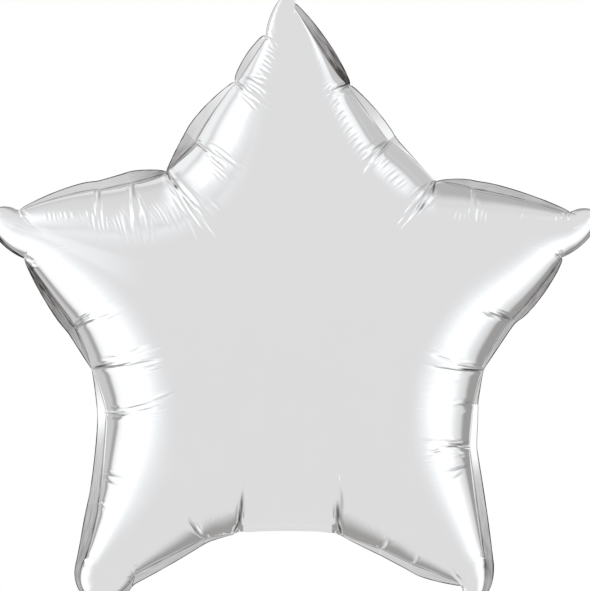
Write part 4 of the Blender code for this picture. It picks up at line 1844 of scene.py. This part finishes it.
@dataclass
class Studio:
    """A pale floor, a soft grey room with lit sides, and the camera.

    Attributes:
        camera_distance: From the seam plane.
        sensor: Width of the camera's film, in mm.
        aim: x and z that the middle of the picture looks at.
        view_width: Width of the picture at the seam plane.
        floor_drop: How far the floor lies under the origin.
        floor_half: Half its width.
        floor_colour: Its colour.
        floor_haze: Its roughness.
        front_grey: Brightness of the room behind the camera.
        back_grey: Brightness of the room behind the balloon, as reflections see it.
        room_fade: Depth at which the front grey ends and at which the back grey starts.
        ground: Brightness of the page behind the balloon, as the camera sees it.
        tints: Brightness of the room and its colour there, from a warm shade to a cool light.
    """

    camera_distance: float = 2.2
    sensor: float = 36.0
    aim: Pair = (4.4 * MM, 18.6 * MM)
    view_width: float = PHOTO_WIDTH * PIXEL
    floor_drop: float = 0.9
    floor_half: float = 6.0
    floor_colour: Colour = (0.86, 0.86, 0.86)
    floor_haze: float = 0.9
    front_grey: float = 0.82
    back_grey: float = 0.38
    room_fade: Pair = (-0.25, 0.42)
    ground: float = 1.0
    tints: tuple[tuple[float, Colour], ...] = (
        (0.40, (1.0, 0.985, 0.965)),
        (0.78, (1.0, 1.0, 1.0)),
        (0.84, (1.0, 1.0, 1.0)),
        (0.98, (0.972, 0.992, 1.0)),
    )

    def build_camera(self) -> None:
        """Adds the camera, square to the star, and makes it the scene's."""
        data = bpy.data.cameras.new("camera")
        data.sensor_width = self.sensor
        data.lens = self.sensor * self.camera_distance / self.view_width
        camera = bpy.data.objects.new("camera", data)
        camera.location = (self.aim[0], -self.camera_distance, self.aim[1])
        camera.rotation_euler = (math.pi / 2, 0.0, 0.0)
        bpy.context.scene.collection.objects.link(camera)
        bpy.context.scene.camera = camera

    def tinted(self, tree: NodeTree, brightness: bpy.types.NodeSocket) -> bpy.types.NodeSocket:
        """The room's colour at each brightness."""
        node = tree.new("ShaderNodeValToRGB")
        stops = node.color_ramp.elements
        for number, (place, colour) in enumerate(self.tints):
            stop = stops[number] if number < len(stops) else stops.new(1.0)
            stop.position = place
            stop.color = (*colour, 1.0)
        return tree.feed(node, {"Fac": brightness})["Color"]

    def build_world(self) -> None:
        """A room whose brightness runs from the front to the back, with a white page for the camera."""
        world = bpy.data.worlds.new("studio_room")
        world.use_nodes = True
        world.node_tree.nodes.clear()
        bpy.context.scene.world = world
        tree = NodeTree(world.node_tree)
        direction = tree.new("ShaderNodeTexCoord").outputs["Generated"]
        split = tree.feed(tree.new("ShaderNodeSeparateXYZ"), {"Vector": direction})
        turn = tree.maths("DEGREES", tree.maths("ARCTAN2", split["Z"], split["X"]))
        total = tree.ramp(split["Y"], self.room_fade, (self.front_grey, self.back_grey))
        for light in LIGHTS:
            total = tree.maths("ADD", total, light.level(tree, turn, split["Y"]))
        room = tree.background(self.tinted(tree, total), total)
        page = tree.background((1.0, 1.0, 1.0, 1.0), self.ground)
        seen = tree.new("ShaderNodeLightPath").outputs["Is Camera Ray"]
        mix = tree.feed(tree.new("ShaderNodeMixShader"), {"Fac": seen, 1: room, 2: page})
        tree.feed(tree.new("ShaderNodeOutputWorld"), {"Surface": mix["Shader"]})

    def build_floor(self) -> None:
        """A wide pale floor, which isn't part of the balloon."""
        half, z = self.floor_half, -self.floor_drop
        corners = [(-half, -half, z), (half, -half, z), (half, half, z), (-half, half, z)]
        mesh = bpy.data.meshes.new("floor")
        mesh.from_pydata(corners, [], [(0, 1, 2, 3)])
        material, tree, shader = new_material("pale_floor", self.floor_colour)
        tree.feed(shader, {"Roughness": self.floor_haze})
        mesh.materials.append(material)
        floor = bpy.data.objects.new("floor", mesh)
        floor.visible_glossy = False
        bpy.context.scene.collection.objects.link(floor)

    def build(self) -> None:
        """Adds everything of the studio."""
        self.build_floor()
        self.build_world()
        self.build_camera()
        bpy.context.scene.view_settings.view_transform = "Standard"


def build_star(film: bpy.types.Material, welded: bpy.types.Material) -> None:
    """Builds the two panels and the weld band.

    Args:
        film: The panels' material.
        welded: The weld band's material.
    """
    plan = StarPlan()
    height = Membrane().height(plan.grid())
    front = Panel(Side.FRONT, plan, height, Creasing(seed=7)).build("front_film")
    back = Panel(Side.BACK, plan, height, Creasing(seed=11)).build("back_film")
    band = WeldBand(plan).build("weld_band_film")
    dress(front, film, "front_panel", "envelope")
    dress(back, film, "back_panel", "envelope")
    dress(band, welded, "weld_band", "envelope")


def build_tail(film: bpy.types.Material, welded: bpy.types.Material, clear: bpy.types.Material) -> None:
    """Builds the tail's pieces.

    Args:
        film: Material of the plies and the fold.
        welded: Material of the side welds.
        clear: Material of the valve's film.
    """
    tail = Tail()
    dress(tail.ply(TailLayer.OUTER, seed=21), film, "tail_outer_ply", "tail")
    dress(tail.ply(TailLayer.INNER, seed=22), film, "tail_inner_ply", "tail")
    dress(tail.side_weld(-1), welded, "tail_weld_left", "tail")
    dress(tail.side_weld(1), welded, "tail_weld_right", "tail")
    dress(tail.valve(), clear, "valve_film", "tail")
    dress(tail.fold_roll(), film, "tail_fold", "tail")


def main() -> None:
    """Builds the balloon's pieces in order, dresses them and reports each one."""
    logging.basicConfig(level=logging.INFO, format="%(name)s: %(message)s")
    # The weld film's dark colour is painted shade for the weld band's dark reflections and lines.
    welded = FilmFinish(
        "weld_film",
        colour=(0.86, 0.85, 0.85),
        haze=(0.12, 0.24),
        crinkle=(14.0 * MM, 1.1 * MM),
        crinkle_height=0.02 * MM,
        dark=(0.045, 0.039, 0.035),
    ).material()
    # The silver film's deep colour is painted shade at the bottom of sharp folds.
    star_film = FilmFinish("silver_film", crimp_height=0.16 * MM, deep=(0.08, 0.078, 0.074))
    tail_film = FilmFinish(
        "tail_film",
        haze=(0.08, 0.18),
        crinkle=(3.0 * MM, 20.0 * MM),
        crinkle_height=0.02 * MM,
    )
    build_star(star_film.material(), welded)
    build_tail(tail_film.material(), welded, ClearFinish("clear_film").material())
    Studio().build()


if __name__ == "__main__":
    main()
